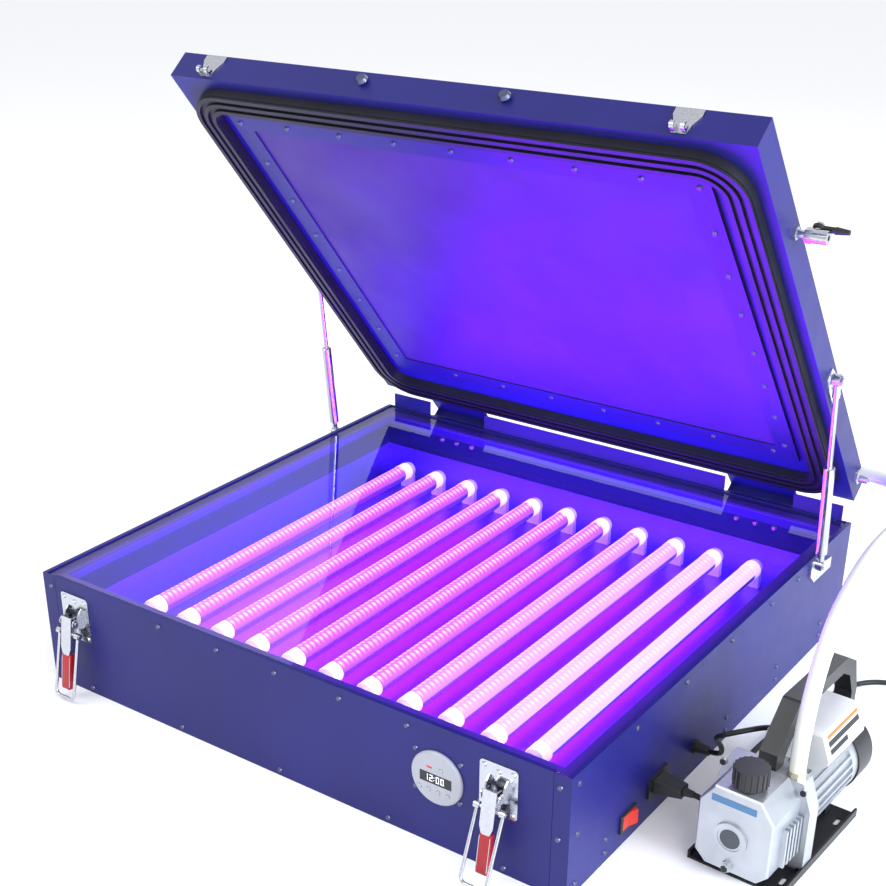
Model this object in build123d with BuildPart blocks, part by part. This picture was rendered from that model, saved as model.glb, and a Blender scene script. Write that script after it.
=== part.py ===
"""Screen printing exposure unit: a sheet steel lamp cabinet with a glass bed, a hinged
vacuum lid on two gas struts, two draw latches, and its vacuum pump standing beside it.

Millimetres, +Z up.  X runs along the front, Y from front to rear.  The origin is the
middle of the cabinet's underside, on the floor.  The lid stands open, as it does at rest.
"""

from build123d import *
import math
import os

os.makedirs("parts", exist_ok=True)

# ---------------------------------------------------------------- driving dimensions
# cabinet
CAB_W = 820.0
CAB_D = 774.0
CAB_H = 163.0
SHEET = 1.5                 # steel sheet of the cabinet and the lid
CORNER_FLANGE = 22.0        # side panels fold this far round the front and the rear
LIP = 6.0                   # narrow lip along the top edge
SEAM = 0.5                  # gap at every panel seam

# glass bed
GLASS_T = 5.0
GLASS_GAP = 1.0             # glass edge to panel
GLASS_DROP = 2.0            # glass top below the top of the lip
GASKET_T = 1.5
LEDGE_W = 22.0              # flat leg of the ledge angle
LEDGE_H = 24.0              # upright leg
LEDGE_T = 2.0

# lamps
LAMP_COUNT = 11
LAMP_PITCH = 61.5
LAMP_R = 13.0
LAMP_LENGTH = 589.0         # between the pins' shoulders
LAMP_Z = 97.0
LAMP_Y = 1.0                # middle of the row of lamps, seen from above
CAP_LENGTH = 18.0
TRAY_Z = 68.0               # top face of the reflector tray
TRAY_T = 1.0
TRAY_RIM = 26.0

# lid
LID_T = 40.0
LID_GAP = 13.0              # closed lid's flange above the cabinet
LID_FRONT_SET = 16.4        # lid's front face behind the cabinet's
LID_REAR_SET = 32.4
LID_OPEN = 50.7             # degrees
SEAL_INSET = 15.0
SEAL_W = 34.0
SEAL_T = 14.9
SEAL_CORNER = 26.0
BLANKET_T = 2.5
STRIP_W = 30.0              # retaining strip over the blanket's edge
STRIP_T = 2.0
BLANKET_GAP_X = 15.7        # blanket's edge inside the seal: sides, front and rear
BLANKET_GAP_FRONT = 6.6
BLANKET_GAP_REAR = 36.4

# hinges
HINGE_BACK = 5.35           # hinge axis behind the rear panel
HINGE_DROP = 6.6            # and below the top
HINGE_X = 268.0
HINGE_LENGTH = 106.0
HINGE_PIN_R = 2.5
KNUCKLE_R = 5.0
LEAF_T = 2.0
LEAF_DEPTH = 30.0
HINGE_SCREW_PITCH = 30.0
RUN_GAP = 0.05              # radial clearance of every pin that turns
SIDE_GAP = 0.3              # side clearance between parts that turn past each other

# gas struts
STRUT_OUT = 10.0            # strut axis from the panel's outer face
STRUT_Y = 252.0             # lower pivot
STRUT_Z = 154.0
STRUT_LID_Y = 75.0          # upper pivot, lid closed
STRUT_LID_H = 19.5          # above the lid's flange
TUBE_R = 7.5
TUBE_WALL = 1.2
TUBE_END = 150.0            # pivot to the open end of the cylinder
ROD_R = 3.5
EYE_R = 8.0
EYE_W = 9.0
STUD_R = 4.0

# latches
LATCH_X = (-350.8, 320.0)   # left and right
LATCH_BASE_W = 50.0
LATCH_BASE_H = 66.0
LATCH_BASE_Z = 80.0
LATCH_T = 2.0
EAR_GAP = 22.0              # between the base's two ears
LEVER_Y = 14.0              # lever pivot, out from the front face
LEVER_Z = 112.0
TRUNNION_Y = 17.0           # hook pivot, out from the front face
TRUNNION_Z = 96.0
LEVER_LEAN = 9.0            # degrees the lever hangs out from upright
GRIP_LENGTH = 50.0
GRIP_W = 15.0
GRIP_T = 9.0
HOOK_W = 38.0               # between the hook's legs, wire centre to wire centre
WIRE_R = 2.25
HOOK_HANG = (13.0, 22.0)    # degrees each hook hangs out from upright
KEEPER_H = 8.0              # hook's seat above the closed lid's lower edge
KEEPER_OUT = 9.0            # and out from the lid's front face

# timer
TIMER_X = 237.5
TIMER_Z = 94.5
TIMER_R = 35.0
TIMER_BEZEL = 4.0
TIMER_DEPTH = 34.0
TIMER_BOX_W = 48.0
TIMER_BOX_H = 42.0
KEY_R = 2.6
KEY_TRAVEL = 0.8

# switch, inlet, gland
SWITCH_Y = -252.6
SWITCH_Z = 32.0
SWITCH_W = 37.6
SWITCH_H = 25.0
ROCKER_W = 26.0
ROCKER_H = 19.4
ROCKER_TILT = 12.0
INLET_Y = -181.0
INLET_Z = 43.0
INLET_W = 50.0
INLET_H = 28.0
INLET_T = 3.0
GLAND_Y = -85.0
GLAND_Z = 41.0
GLAND_R = 9.0
GLAND_OUT = 22.0

# vacuum fittings on the lid's right side
VALVE_Y = -205.0            # lid closed
VALVE_H = 24.0
PORT_Y = 321.0
PORT_H = 28.0
HOSE_R = 9.5
HOSE_BORE_R = 6.5

# vacuum pump, in its own frame: u across, v back from the front face, w up
PUMP_X = 540.4
PUMP_Y = -255.1
PUMP_TURN = -2.8            # degrees
CASE_W = 90.0
CASE_L = 64.0
CASE_BOTTOM = 15.0
CASE_TOP = 121.5
CASE_CUT_U = 17.0
CASE_CUT_W = 23.5
CASE_CUT_LOW = 13.5
PLATE_W = 115.0
PLATE_T = 22.0
PLATE_BOTTOM = 8.0
PLATE_TOP = 119.0
BASE_W = 118.0
BASE_START = 14.0
BASE_END = 208.0
BASE_T = 3.0
BASE_RAIL = 10.6
MOTOR_R = 47.0
MOTOR_Z = 58.0
MOTOR_END = 220.0
FIN_COUNT = 5
COVER_END = 262.0
COVER_R = 49.0
CAP_R = 19.0
CAP_H = 27.0
CAP_U = 3.4
CAP_V = 20.5
PUMP_PORT_U = 32.0
PUMP_PORT_V = 75.0
GLASS_EYE_R = 15.0
GLASS_EYE_Z = 61.4

# ---------------------------------------------------------------- derived places
FRONT = -CAB_D / 2
REAR = CAB_D / 2
SIDE = CAB_W / 2
HINGE_Y = REAR + HINGE_BACK
HINGE_Z = CAB_H - HINGE_DROP
GLASS_TOP = CAB_H - GLASS_DROP
GLASS_BOTTOM = GLASS_TOP - GLASS_T
LEDGE_TOP = GLASS_BOTTOM - GASKET_T
LID_Z = CAB_H + LID_GAP                     # underside of the closed lid's flange
LID_FRONT = FRONT + LID_FRONT_SET
LID_REAR = REAR - LID_REAR_SET
LID_D = LID_REAR - LID_FRONT
LID_MID = (LID_FRONT + LID_REAR) / 2
OPEN = math.radians(LID_OPEN)


def save(part, name):
    part.label = name
    export_step(part, f"parts/{name}.step")


def opened(x, y, z):
    """Where a point of the closed lid stands while the lid is open."""
    dy, dz = y - HINGE_Y, z - HINGE_Z
    return (
        x,
        HINGE_Y + dy * math.cos(OPEN) + dz * math.sin(OPEN),
        HINGE_Z - dy * math.sin(OPEN) + dz * math.cos(OPEN),
    )


def lid_plane(x, y, z):
    """The closed lid's XY plane through a point, carried to the open position."""
    return Plane(origin=opened(x, y, z), x_dir=(1, 0, 0), z_dir=(0, math.sin(OPEN), math.cos(OPEN)))


def lid_side(x, y, z):
    """A plane of the open lid that looks out along +X, with its local x towards the rear."""
    rearward = (0, math.cos(OPEN), -math.sin(OPEN))
    return Plane(origin=opened(x, y, z), x_dir=rearward, z_dir=(1, 0, 0))


def lid_face(x, y, z):
    """A plane of the open lid that looks out of its front face, with local y up."""
    outward = (0, -math.cos(OPEN), math.sin(OPEN))
    return Plane(origin=opened(x, y, z), x_dir=(1, 0, 0), z_dir=outward)


def front_face(x, z, out=0.0):
    """A plane on the cabinet's front face that looks out along -Y."""
    return Plane(origin=(x, FRONT - out, z), x_dir=(1, 0, 0), z_dir=(0, -1, 0))


def rear_face(x, z, out=0.0):
    return Plane(origin=(x, REAR + out, z), x_dir=(-1, 0, 0), z_dir=(0, 1, 0))


def side_face(y, z, out=0.0, hand=1):
    """A plane on the right (hand 1) or left (hand -1) side that looks outwards."""
    return Plane(origin=(hand * (SIDE + out), y, z), x_dir=(0, hand, 0), z_dir=(hand, 0, 0))


TURN = math.radians(PUMP_TURN)


def pump_point(u, v, w):
    return (
        PUMP_X + u * math.cos(TURN) - v * math.sin(TURN),
        PUMP_Y + u * math.sin(TURN) + v * math.cos(TURN),
        w,
    )


def pump_floor(u, v, w):
    return Plane(origin=pump_point(u, v, w), x_dir=(math.cos(TURN), math.sin(TURN), 0), z_dir=(0, 0, 1))


def pump_front(u, v, w):
    """A plane that looks out of the pump's front, local x across, local y up."""
    return Plane(
        origin=pump_point(u, v, w),
        x_dir=(math.cos(TURN), math.sin(TURN), 0),
        z_dir=(math.sin(TURN), -math.cos(TURN), 0),
    )


def pump_side(u, v, w):
    """A plane that looks out of the pump's right side, local x back, local y up."""
    return Plane(
        origin=pump_point(u, v, w),
        x_dir=(-math.sin(TURN), math.cos(TURN), 0),
        z_dir=(math.cos(TURN), math.sin(TURN), 0),
    )


# ================================================================ CABINET
# ---------------------------------------------------------------- side panels
# each is one sheet: side wall, flanges round both corners, lips along top and bottom
FOOT_LIP = 14.0
with BuildPart() as side_panels:
    for hand in (-1, 1):
        with BuildSketch(Plane.XY):
            with Locations((hand * (SIDE - CORNER_FLANGE / 2), 0)):
                Rectangle(CORNER_FLANGE, CAB_D)
            with Locations((hand * (SIDE - SHEET - CORNER_FLANGE / 2), 0)):
                Rectangle(CORNER_FLANGE, CAB_D - 2 * SHEET, mode=Mode.SUBTRACT)
        extrude(amount=CAB_H)
        with BuildSketch(Plane.XY.offset(CAB_H - SHEET)):
            with Locations((hand * (SIDE - LIP / 2), 0)):
                Rectangle(LIP, CAB_D)
        extrude(amount=SHEET)
        with BuildSketch(Plane.XY):
            with Locations((hand * (SIDE - FOOT_LIP / 2), 0)):
                Rectangle(FOOT_LIP, CAB_D)
        extrude(amount=SHEET)
    # holes for the switch, the inlet and the gland in the right side
    with BuildSketch(side_face(SWITCH_Y, SWITCH_Z)):
        Rectangle(SWITCH_W - 7, SWITCH_H - 3.4)
    extrude(amount=-SHEET, mode=Mode.SUBTRACT)
    with BuildSketch(side_face(INLET_Y, INLET_Z)):
        Rectangle(28.0, 22.0)
    extrude(amount=-SHEET, mode=Mode.SUBTRACT)
    with BuildSketch(side_face(GLAND_Y, GLAND_Z)):
        Circle(GLAND_R * 0.7)
    extrude(amount=-SHEET, mode=Mode.SUBTRACT)
save(side_panels.part, "side_panels")

# ---------------------------------------------------------------- front and rear panels
# each lies between the side panels' flanges, with tabs that pass behind them
TAB = 16.0
PANEL_W = CAB_W - 2 * (CORNER_FLANGE + SEAM)


def end_panel(name, end, holes):
    """Front (end -1) or rear (end 1) panel, with a list of (plane, outline) holes."""
    face = end * (CAB_D / 2 - SHEET / 2)
    back = end * (CAB_D / 2 - SHEET * 1.5)
    with BuildPart() as panel:
        with BuildSketch(Plane.XY.offset(SHEET)):
            with Locations((0, face)):
                Rectangle(PANEL_W, SHEET)
            for hand in (-1, 1):
                with Locations((hand * (PANEL_W / 2 - TAB / 4), back)):
                    Rectangle(TAB * 2.4, SHEET)
        extrude(amount=CAB_H - 2 * SHEET)
        with BuildSketch(Plane.XY.offset(CAB_H - SHEET)):
            with Locations((0, end * (CAB_D / 2 - LIP / 2))):
                Rectangle(PANEL_W, LIP)
        extrude(amount=SHEET)
        for plane, outline in holes:
            with BuildSketch(plane):
                add(outline)
            extrude(amount=-3 * SHEET, mode=Mode.SUBTRACT)
    save(panel.part, name)
    return panel.part


with BuildSketch() as timer_hole:
    Rectangle(TIMER_BOX_W + 0.6, TIMER_BOX_H + 0.6)
end_panel("front_panel", -1, [(front_face(TIMER_X, TIMER_Z), timer_hole.sketch)])
end_panel("rear_panel", 1, [])

# ---------------------------------------------------------------- base panel
with BuildPart() as base_panel:
    with BuildSketch(Plane.XY):
        Rectangle(CAB_W - 2 * (FOOT_LIP + SEAM), CAB_D - 2 * (SHEET + SEAM))
        Rectangle(CAB_W - 2 * (CORNER_FLANGE + SEAM), CAB_D)
    extrude(amount=SHEET)
    # folded stiffening ribs across the floor of the cabinet
    for y in (-CAB_D / 4, CAB_D / 4):
        with BuildSketch(Plane.XY.offset(SHEET)):
            with Locations((0, y)):
                Rectangle(CAB_W * 0.8, 24)
        extrude(amount=10, taper=20)
save(base_panel.part, "base_panel")

# ---------------------------------------------------------------- glass ledge and gasket
INNER_W = CAB_W - 2 * SHEET
INNER_D = CAB_D - 4 * SHEET
with BuildPart() as glass_ledge:
    with BuildSketch(Plane.XY.offset(LEDGE_TOP - LEDGE_H)):
        Rectangle(INNER_W, INNER_D)
        Rectangle(INNER_W - 2 * LEDGE_T, INNER_D - 2 * LEDGE_T, mode=Mode.SUBTRACT)
    extrude(amount=LEDGE_H)
    with BuildSketch(Plane.XY.offset(LEDGE_TOP - LEDGE_T)):
        Rectangle(INNER_W, INNER_D)
        Rectangle(INNER_W - 2 * LEDGE_W, INNER_D - 2 * LEDGE_W, mode=Mode.SUBTRACT)
    extrude(amount=LEDGE_T)

GLASS_W = INNER_W - 2 * GLASS_GAP
GLASS_D = INNER_D - 2 * GLASS_GAP
with BuildPart() as glass_gasket:
    with BuildSketch(Plane.XY.offset(LEDGE_TOP)):
        Rectangle(GLASS_W - 4, GLASS_D - 4)
        Rectangle(INNER_W - 2 * LEDGE_W + 4, INNER_D - 2 * LEDGE_W + 4, mode=Mode.SUBTRACT)
    extrude(amount=GASKET_T)
save(Compound(children=[glass_ledge.part, glass_gasket.part]), "glass_ledge")

with BuildPart() as exposure_glass:
    with BuildSketch(Plane.XY.offset(GLASS_BOTTOM)):
        Rectangle(GLASS_W, GLASS_D)
    extrude(amount=GLASS_T)
    chamfer(exposure_glass.edges().group_by(Axis.Z)[-1], 0.5)
save(exposure_glass.part, "exposure_glass")

# ---------------------------------------------------------------- reflector tray
with BuildPart() as reflector_tray:
    with BuildSketch(Plane.XY.offset(TRAY_Z - TRAY_T)):
        Rectangle(INNER_W, INNER_D)
    extrude(amount=TRAY_RIM + TRAY_T)
    with BuildSketch(Plane.XY.offset(TRAY_Z)):
        Rectangle(INNER_W - 2 * TRAY_T, INNER_D - 2 * TRAY_T)
    extrude(amount=TRAY_RIM, mode=Mode.SUBTRACT)
    # notch in the front rim for the timer's body
    with BuildSketch(Plane.XY.offset(TRAY_Z + 1)):
        with Locations((TIMER_X, -INNER_D / 2)):
            Rectangle(TIMER_BOX_W + 8, 12)
    extrude(amount=TRAY_RIM, mode=Mode.SUBTRACT)
save(reflector_tray.part, "reflector_tray")

# ---------------------------------------------------------------- lamps
LAMP_FRONT = LAMP_Y - LAMP_LENGTH / 2
LAMP_BACK = LAMP_Y + LAMP_LENGTH / 2
TUBE_T = 1.2
lamp_start = Plane(origin=(0, LAMP_FRONT + CAP_LENGTH, LAMP_Z), x_dir=(1, 0, 0), z_dir=(0, 1, 0))
TUBE_BODY = LAMP_LENGTH - 2 * CAP_LENGTH

# lower half: aluminium channel that carries the strip of emitters
with BuildPart() as lamp_heatsinks:
    with BuildSketch(lamp_start):
        with GridLocations(LAMP_PITCH, 0, LAMP_COUNT, 1):
            Circle(LAMP_R)
        with Locations((0, -LAMP_R - 1.5)):
            Rectangle(LAMP_COUNT * LAMP_PITCH, 2 * LAMP_R, mode=Mode.SUBTRACT)
    extrude(amount=TUBE_BODY)
    # hollow below the flat that the emitters sit on
    with BuildSketch(lamp_start):
        with GridLocations(LAMP_PITCH, 0, LAMP_COUNT, 1):
            with Locations((0, 5.6)):
                Rectangle(13, 9.6)
    extrude(amount=TUBE_BODY, mode=Mode.SUBTRACT)
save(lamp_heatsinks.part, "lamp_heatsinks")

# upper half: clear cover with a hollow inside
with BuildPart() as lamp_covers:
    with BuildSketch(lamp_start):
        with GridLocations(LAMP_PITCH, 0, LAMP_COUNT, 1):
            Circle(LAMP_R)
            Circle(LAMP_R - TUBE_T, mode=Mode.SUBTRACT)
        with Locations((0, LAMP_R - 1.5)):
            Rectangle(LAMP_COUNT * LAMP_PITCH, 2 * LAMP_R, mode=Mode.SUBTRACT)
    extrude(amount=TUBE_BODY)
save(lamp_covers.part, "lamp_covers")

PIN_R = 1.2
PIN_GAP = 12.7
PIN_LENGTH = 7.0
with BuildPart() as lamp_end_caps:
    for y, way in ((LAMP_FRONT, 1), (LAMP_BACK, -1)):
        cap_plane = Plane(origin=(0, y, LAMP_Z), x_dir=(1, 0, 0), z_dir=(0, way, 0))
        with BuildSketch(cap_plane):
            with GridLocations(LAMP_PITCH, 0, LAMP_COUNT, 1):
                Circle(LAMP_R + 0.3)
        extrude(amount=CAP_LENGTH)
        with BuildSketch(cap_plane):
            with GridLocations(LAMP_PITCH, 0, LAMP_COUNT, 1):
                with GridLocations(0, PIN_GAP, 1, 2):
                    Circle(PIN_R)
        extrude(amount=-PIN_LENGTH)
save(lamp_end_caps.part, "lamp_end_caps")

HOLDER_W = 22.0
HOLDER_T = 9.0
with BuildPart() as lamp_holders:
    for y, way in ((LAMP_FRONT, -1), (LAMP_BACK, 1)):
        holder = Plane(origin=(0, y + way * SIDE_GAP, LAMP_Z), x_dir=(1, 0, 0), z_dir=(0, way, 0))
        with BuildSketch(holder):
            with GridLocations(LAMP_PITCH, 0, LAMP_COUNT, 1):
                Circle(HOLDER_W / 2 + 1)
        extrude(amount=HOLDER_T)
        with BuildSketch(Plane.XY.offset(TRAY_Z)):
            with Locations((0, y + way * (SIDE_GAP + HOLDER_T / 2))):
                with GridLocations(LAMP_PITCH, 0, LAMP_COUNT, 1):
                    Rectangle(HOLDER_W, HOLDER_T)
        extrude(amount=LAMP_Z - TRAY_Z)
        # the slot that the two pins turn in
        with BuildSketch(holder):
            with GridLocations(LAMP_PITCH, 0, LAMP_COUNT, 1):
                SlotOverall(PIN_GAP + 2 * PIN_R + 1.2, 2 * PIN_R + 0.8, rotation=90)
        extrude(amount=PIN_LENGTH + 0.5, mode=Mode.SUBTRACT)
save(lamp_holders.part, "lamp_holders")

# ---------------------------------------------------------------- panel screws
SCREW_R = 3.6
SCREW_H = 1.8
LOW_Z = 8.0
front_screws = [(x - SIDE, LOW_Z) for x in (74, 241, 408, 576, 738)]
front_screws += [(x - SIDE, 148) for x in (213, 313, 407, 506, 604)]
front_screws += [(hand * (SIDE - 14), z) for hand in (-1, 1) for z in (146, 78)]
front_screws += [(TIMER_X + i * 31, TIMER_Z + j * 26 + 3) for i in (-1, 1) for j in (-1, 1)]
side_screws = [(y - CAB_D / 2, 150) for y in (145, 266, 388, 506, 590)]
side_screws += [(y - CAB_D / 2, z) for y in (84, 240, 396, 551, 700) for z in (33, 14)]
side_screws += [(17 - CAB_D / 2, z) for z in (148, 82, 14)]
rear_screws = [(x, z) for x in (-330, -165, 0, 165, 330) for z in (LOW_Z, 120)]
with BuildPart() as panel_screws:
    heads = [front_face(x, z) for x, z in front_screws]
    heads += [side_face(y, z, hand=hand) for hand in (-1, 1) for y, z in side_screws]
    heads += [rear_face(x, z) for x, z in rear_screws]
    for plane in heads:
        with BuildSketch(plane):
            Circle(SCREW_R)
        extrude(amount=SCREW_H, taper=28)
save(panel_screws.part, "panel_screws")

# ---------------------------------------------------------------- timer
KEYS = [(7.0, 13.6), (-22.6, -17.0), (-9.7, -17.0), (3.4, -17.0), (16.6, -17.0)]
with BuildPart() as timer_body:
    with BuildSketch(front_face(TIMER_X, TIMER_Z)):
        Circle(TIMER_R)
    extrude(amount=TIMER_BEZEL)
    chamfer(timer_body.edges().group_by(Axis.Y)[0], 1.6)
    with BuildSketch(front_face(TIMER_X, TIMER_Z)):
        Rectangle(TIMER_BOX_W, TIMER_BOX_H)
    extrude(amount=-TIMER_DEPTH)
    with BuildSketch(front_face(TIMER_X, TIMER_Z, TIMER_BEZEL)):
        with Locations((-0.4, -1.2)):
            Rectangle(44, 14)
    extrude(amount=-1.2, mode=Mode.SUBTRACT)
    with BuildSketch(front_face(TIMER_X, TIMER_Z, TIMER_BEZEL)):
        with Locations(*KEYS):
            Circle(KEY_R + SIDE_GAP)
    extrude(amount=-TIMER_BEZEL, mode=Mode.SUBTRACT)
save(timer_body.part, "timer_body")

with BuildPart() as timer_display:
    with BuildSketch(front_face(TIMER_X, TIMER_Z, TIMER_BEZEL - 1.2)):
        with Locations((-0.4, -1.2)):
            Rectangle(44, 14)
    extrude(amount=0.9)
save(timer_display.part, "timer_display")

for number, (kx, kz) in enumerate(KEYS, 1):
    with BuildPart() as timer_key:
        with BuildSketch(front_face(TIMER_X + kx, TIMER_Z + kz, KEY_TRAVEL + SIDE_GAP)):
            Circle(KEY_R)
        extrude(amount=TIMER_BEZEL)
        fillet(timer_key.edges().group_by(Axis.Y)[0], 0.6)
    save(timer_key.part, f"timer_button_{number}")

# ---------------------------------------------------------------- power switch
with BuildPart() as switch_body:
    with BuildSketch(side_face(SWITCH_Y, SWITCH_Z)):
        RectangleRounded(SWITCH_W, SWITCH_H, 2)
    extrude(amount=3)
    chamfer(switch_body.edges().group_by(Axis.X)[-1], 0.8)
    with BuildSketch(side_face(SWITCH_Y, SWITCH_Z)):
        Rectangle(SWITCH_W - 7, SWITCH_H - 3.4)
    extrude(amount=-24)
    with BuildSketch(side_face(SWITCH_Y, SWITCH_Z, 3)):
        Rectangle(ROCKER_W + 3, ROCKER_H + 2 * SIDE_GAP)
    extrude(amount=-16, mode=Mode.SUBTRACT)
    with BuildSketch(side_face(SWITCH_Y, SWITCH_Z, -24)):
        with GridLocations(14, 10, 2, 2):
            Rectangle(0.8, 6.3)
    extrude(amount=-8)
save(switch_body.part, "switch_body")

# the rocker's top is a shallow V, so that either half can lie level with the bezel
rocker_rise = ROCKER_W / 2 * math.tan(math.radians(ROCKER_TILT))
ROCKER_PIVOT = -1.0         # pivot behind the panel's outer face
rocker_plane = Plane(
    origin=(SIDE + ROCKER_PIVOT, SWITCH_Y, SWITCH_Z - ROCKER_H / 2), x_dir=(0, 1, 0), z_dir=(0, 0, 1)
).rotated((0, 0, -ROCKER_TILT))
with BuildPart() as switch_rocker:
    with BuildSketch(rocker_plane):
        with BuildLine():
            Polyline(
                (-ROCKER_W / 2, 3), (-ROCKER_W / 2, -4 - rocker_rise), (0, -4),
                (ROCKER_W / 2, -4 - rocker_rise), (ROCKER_W / 2, 3), close=True,
            )
        make_face()
    extrude(amount=ROCKER_H)
save(switch_rocker.part, "switch_rocker")

# ---------------------------------------------------------------- mains inlet
SOCKET_W = 24.6
SOCKET_H = 16.6
with BuildPart() as mains_inlet:
    with BuildSketch(side_face(INLET_Y, INLET_Z)):
        RectangleRounded(INLET_W, INLET_H, 5)
        with GridLocations(40, 0, 2, 1):
            Circle(1.7, mode=Mode.SUBTRACT)
    extrude(amount=INLET_T)
    with BuildSketch(side_face(INLET_Y, INLET_Z)):
        Rectangle(28.0, 22.0)
    extrude(amount=-20)
    with BuildSketch(side_face(INLET_Y, INLET_Z, INLET_T)):
        Rectangle(SOCKET_W, SOCKET_H)
    extrude(amount=-19, mode=Mode.SUBTRACT)
save(mains_inlet.part, "mains_inlet")

# ---------------------------------------------------------------- cord gland
with BuildPart() as cord_gland:
    with BuildSketch(side_face(GLAND_Y, GLAND_Z)):
        RegularPolygon(GLAND_R, 6)
    extrude(amount=5)
    with BuildSketch(side_face(GLAND_Y, GLAND_Z, 5)):
        Circle(GLAND_R * 0.84)
    extrude(amount=GLAND_OUT - 5, taper=5)
    with BuildSketch(side_face(GLAND_Y, GLAND_Z)):
        Circle(GLAND_R * 0.68)
    extrude(amount=-12)
    with BuildSketch(side_face(GLAND_Y, GLAND_Z, -SHEET)):
        RegularPolygon(GLAND_R, 6)
    extrude(amount=-5)
save(cord_gland.part, "cord_gland")

# ================================================================ LID
LID_SIZE = (CAB_W, LID_D)
lid_under = lid_plane(0, LID_MID, LID_Z)
# middle line of the retaining strip
STRIP_X = SIDE - SEAL_INSET - SEAL_W - BLANKET_GAP_X - STRIP_W / 2
STRIP_FRONT = LID_FRONT + SEAL_INSET + SEAL_W + BLANKET_GAP_FRONT + STRIP_W / 2
STRIP_REAR = LID_REAR - SEAL_INSET - SEAL_W - BLANKET_GAP_REAR - STRIP_W / 2
STRIP_MID = (STRIP_FRONT + STRIP_REAR) / 2
STRIP_L = STRIP_REAR - STRIP_FRONT
WINDOW_W = 2 * STRIP_X - STRIP_W - 2
WINDOW_L = STRIP_L - STRIP_W - 2

with BuildPart() as lid_pan:
    with BuildSketch(lid_under):
        Rectangle(*LID_SIZE)
    extrude(amount=LID_T)
    chamfer(lid_pan.faces().sort_by(Axis((0, 0, 0), lid_under.z_dir))[-1].edges(), 1.2)
    with BuildSketch(lid_plane(0, LID_MID, LID_Z + SHEET)):
        Rectangle(CAB_W - 2 * SHEET, LID_D - 2 * SHEET)
    extrude(amount=LID_T - 2 * SHEET, mode=Mode.SUBTRACT)
    # window in the underside, where the blanket moves up and down
    with BuildSketch(lid_plane(0, STRIP_MID, LID_Z)):
        Rectangle(WINDOW_W, WINDOW_L)
    extrude(amount=SHEET, mode=Mode.SUBTRACT)
    # two stiffening channels inside, across the top sheet
    for y in (-CAB_D / 6, CAB_D / 6):
        with BuildSketch(lid_plane(0, y, LID_Z + LID_T - SHEET - 16)):
            Rectangle(CAB_W - 2 * SHEET, 30)
        extrude(amount=16)
        with BuildSketch(lid_plane(0, y, LID_Z + LID_T - SHEET - 16 + SHEET)):
            Rectangle(CAB_W - 2 * SHEET, 30 - 2 * SHEET)
        extrude(amount=16 - SHEET, mode=Mode.SUBTRACT)
save(lid_pan.part, "lid_pan")

# ---------------------------------------------------------------- rubber seal
SEAL_RIB = 3.4
with BuildPart() as lid_seal:
    with BuildSketch(lid_plane(0, LID_MID, LID_Z - SEAL_T + SEAL_RIB)):
        RectangleRounded(CAB_W - 2 * SEAL_INSET, LID_D - 2 * SEAL_INSET, SEAL_CORNER + SEAL_W)
        RectangleRounded(
            CAB_W - 2 * (SEAL_INSET + SEAL_W), LID_D - 2 * (SEAL_INSET + SEAL_W), SEAL_CORNER, mode=Mode.SUBTRACT
        )
    extrude(amount=SEAL_T - SEAL_RIB)
    # three lips that meet the glass
    with BuildSketch(lid_plane(0, LID_MID, LID_Z - SEAL_T)):
        for inset in (0.0, 12.0, 24.0):
            outer = SEAL_INSET + 1.5 + inset
            RectangleRounded(CAB_W - 2 * outer, LID_D - 2 * outer, SEAL_CORNER + SEAL_W - 1.5 - inset)
            RectangleRounded(
                CAB_W - 2 * (outer + 6), LID_D - 2 * (outer + 6), SEAL_CORNER + SEAL_W - 7.5 - inset,
                mode=Mode.SUBTRACT,
            )
    extrude(amount=SEAL_RIB)
save(lid_seal.part, "lid_seal")

# ---------------------------------------------------------------- blanket, strip, screws
with BuildPart() as rubber_blanket:
    with BuildSketch(lid_plane(0, STRIP_MID, LID_Z - BLANKET_T)):
        Rectangle(2 * STRIP_X + STRIP_W, STRIP_L + STRIP_W)
    extrude(amount=BLANKET_T)
save(rubber_blanket.part, "rubber_blanket")

with BuildPart() as blanket_frame:
    with BuildSketch(lid_plane(0, STRIP_MID, LID_Z - BLANKET_T - STRIP_T)):
        Rectangle(2 * STRIP_X + STRIP_W, STRIP_L + STRIP_W)
        Rectangle(2 * STRIP_X - STRIP_W, STRIP_L - STRIP_W, mode=Mode.SUBTRACT)
    extrude(amount=STRIP_T)
save(blanket_frame.part, "blanket_frame")

STUD_X = (-107.0, 95.7)
with BuildPart() as lid_screws:
    # screws at these shares of the strip's length and half width
    up_the_sides = (0.003, 0.143, 0.283, 0.418, 0.562, 0.696, 0.830, 0.961)
    along_rear = (-0.679, -0.410, -0.148, 0.124, 0.397, 0.662, 0.938)
    along_front = (-0.757, -0.500, -0.242, 0.015, 0.272, 0.530, 0.787)
    column = [(hand * STRIP_X, STRIP_FRONT + s * STRIP_L) for hand in (-1, 1) for s in up_the_sides]
    rows = [(s * STRIP_X, STRIP_REAR) for s in along_rear]
    rows += [(s * STRIP_X, STRIP_FRONT) for s in along_front]
    with BuildSketch(lid_plane(0, 0, LID_Z - BLANKET_T - STRIP_T)):
        with Locations(*(column + rows)):
            Circle(4)
    extrude(amount=-2, taper=28)
    # two bumper studs on the front face
    with BuildSketch(lid_face(0, LID_FRONT, LID_Z + 24)):
        with Locations(*[(x, 0) for x in STUD_X]):
            Circle(4)
    extrude(amount=4)
    with BuildSketch(lid_face(0, LID_FRONT - 4, LID_Z + 24)):
        with Locations(*[(x, 0) for x in STUD_X]):
            Circle(7.5)
    extrude(amount=4.5, taper=20)
save(lid_screws.part, "lid_screws")

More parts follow.
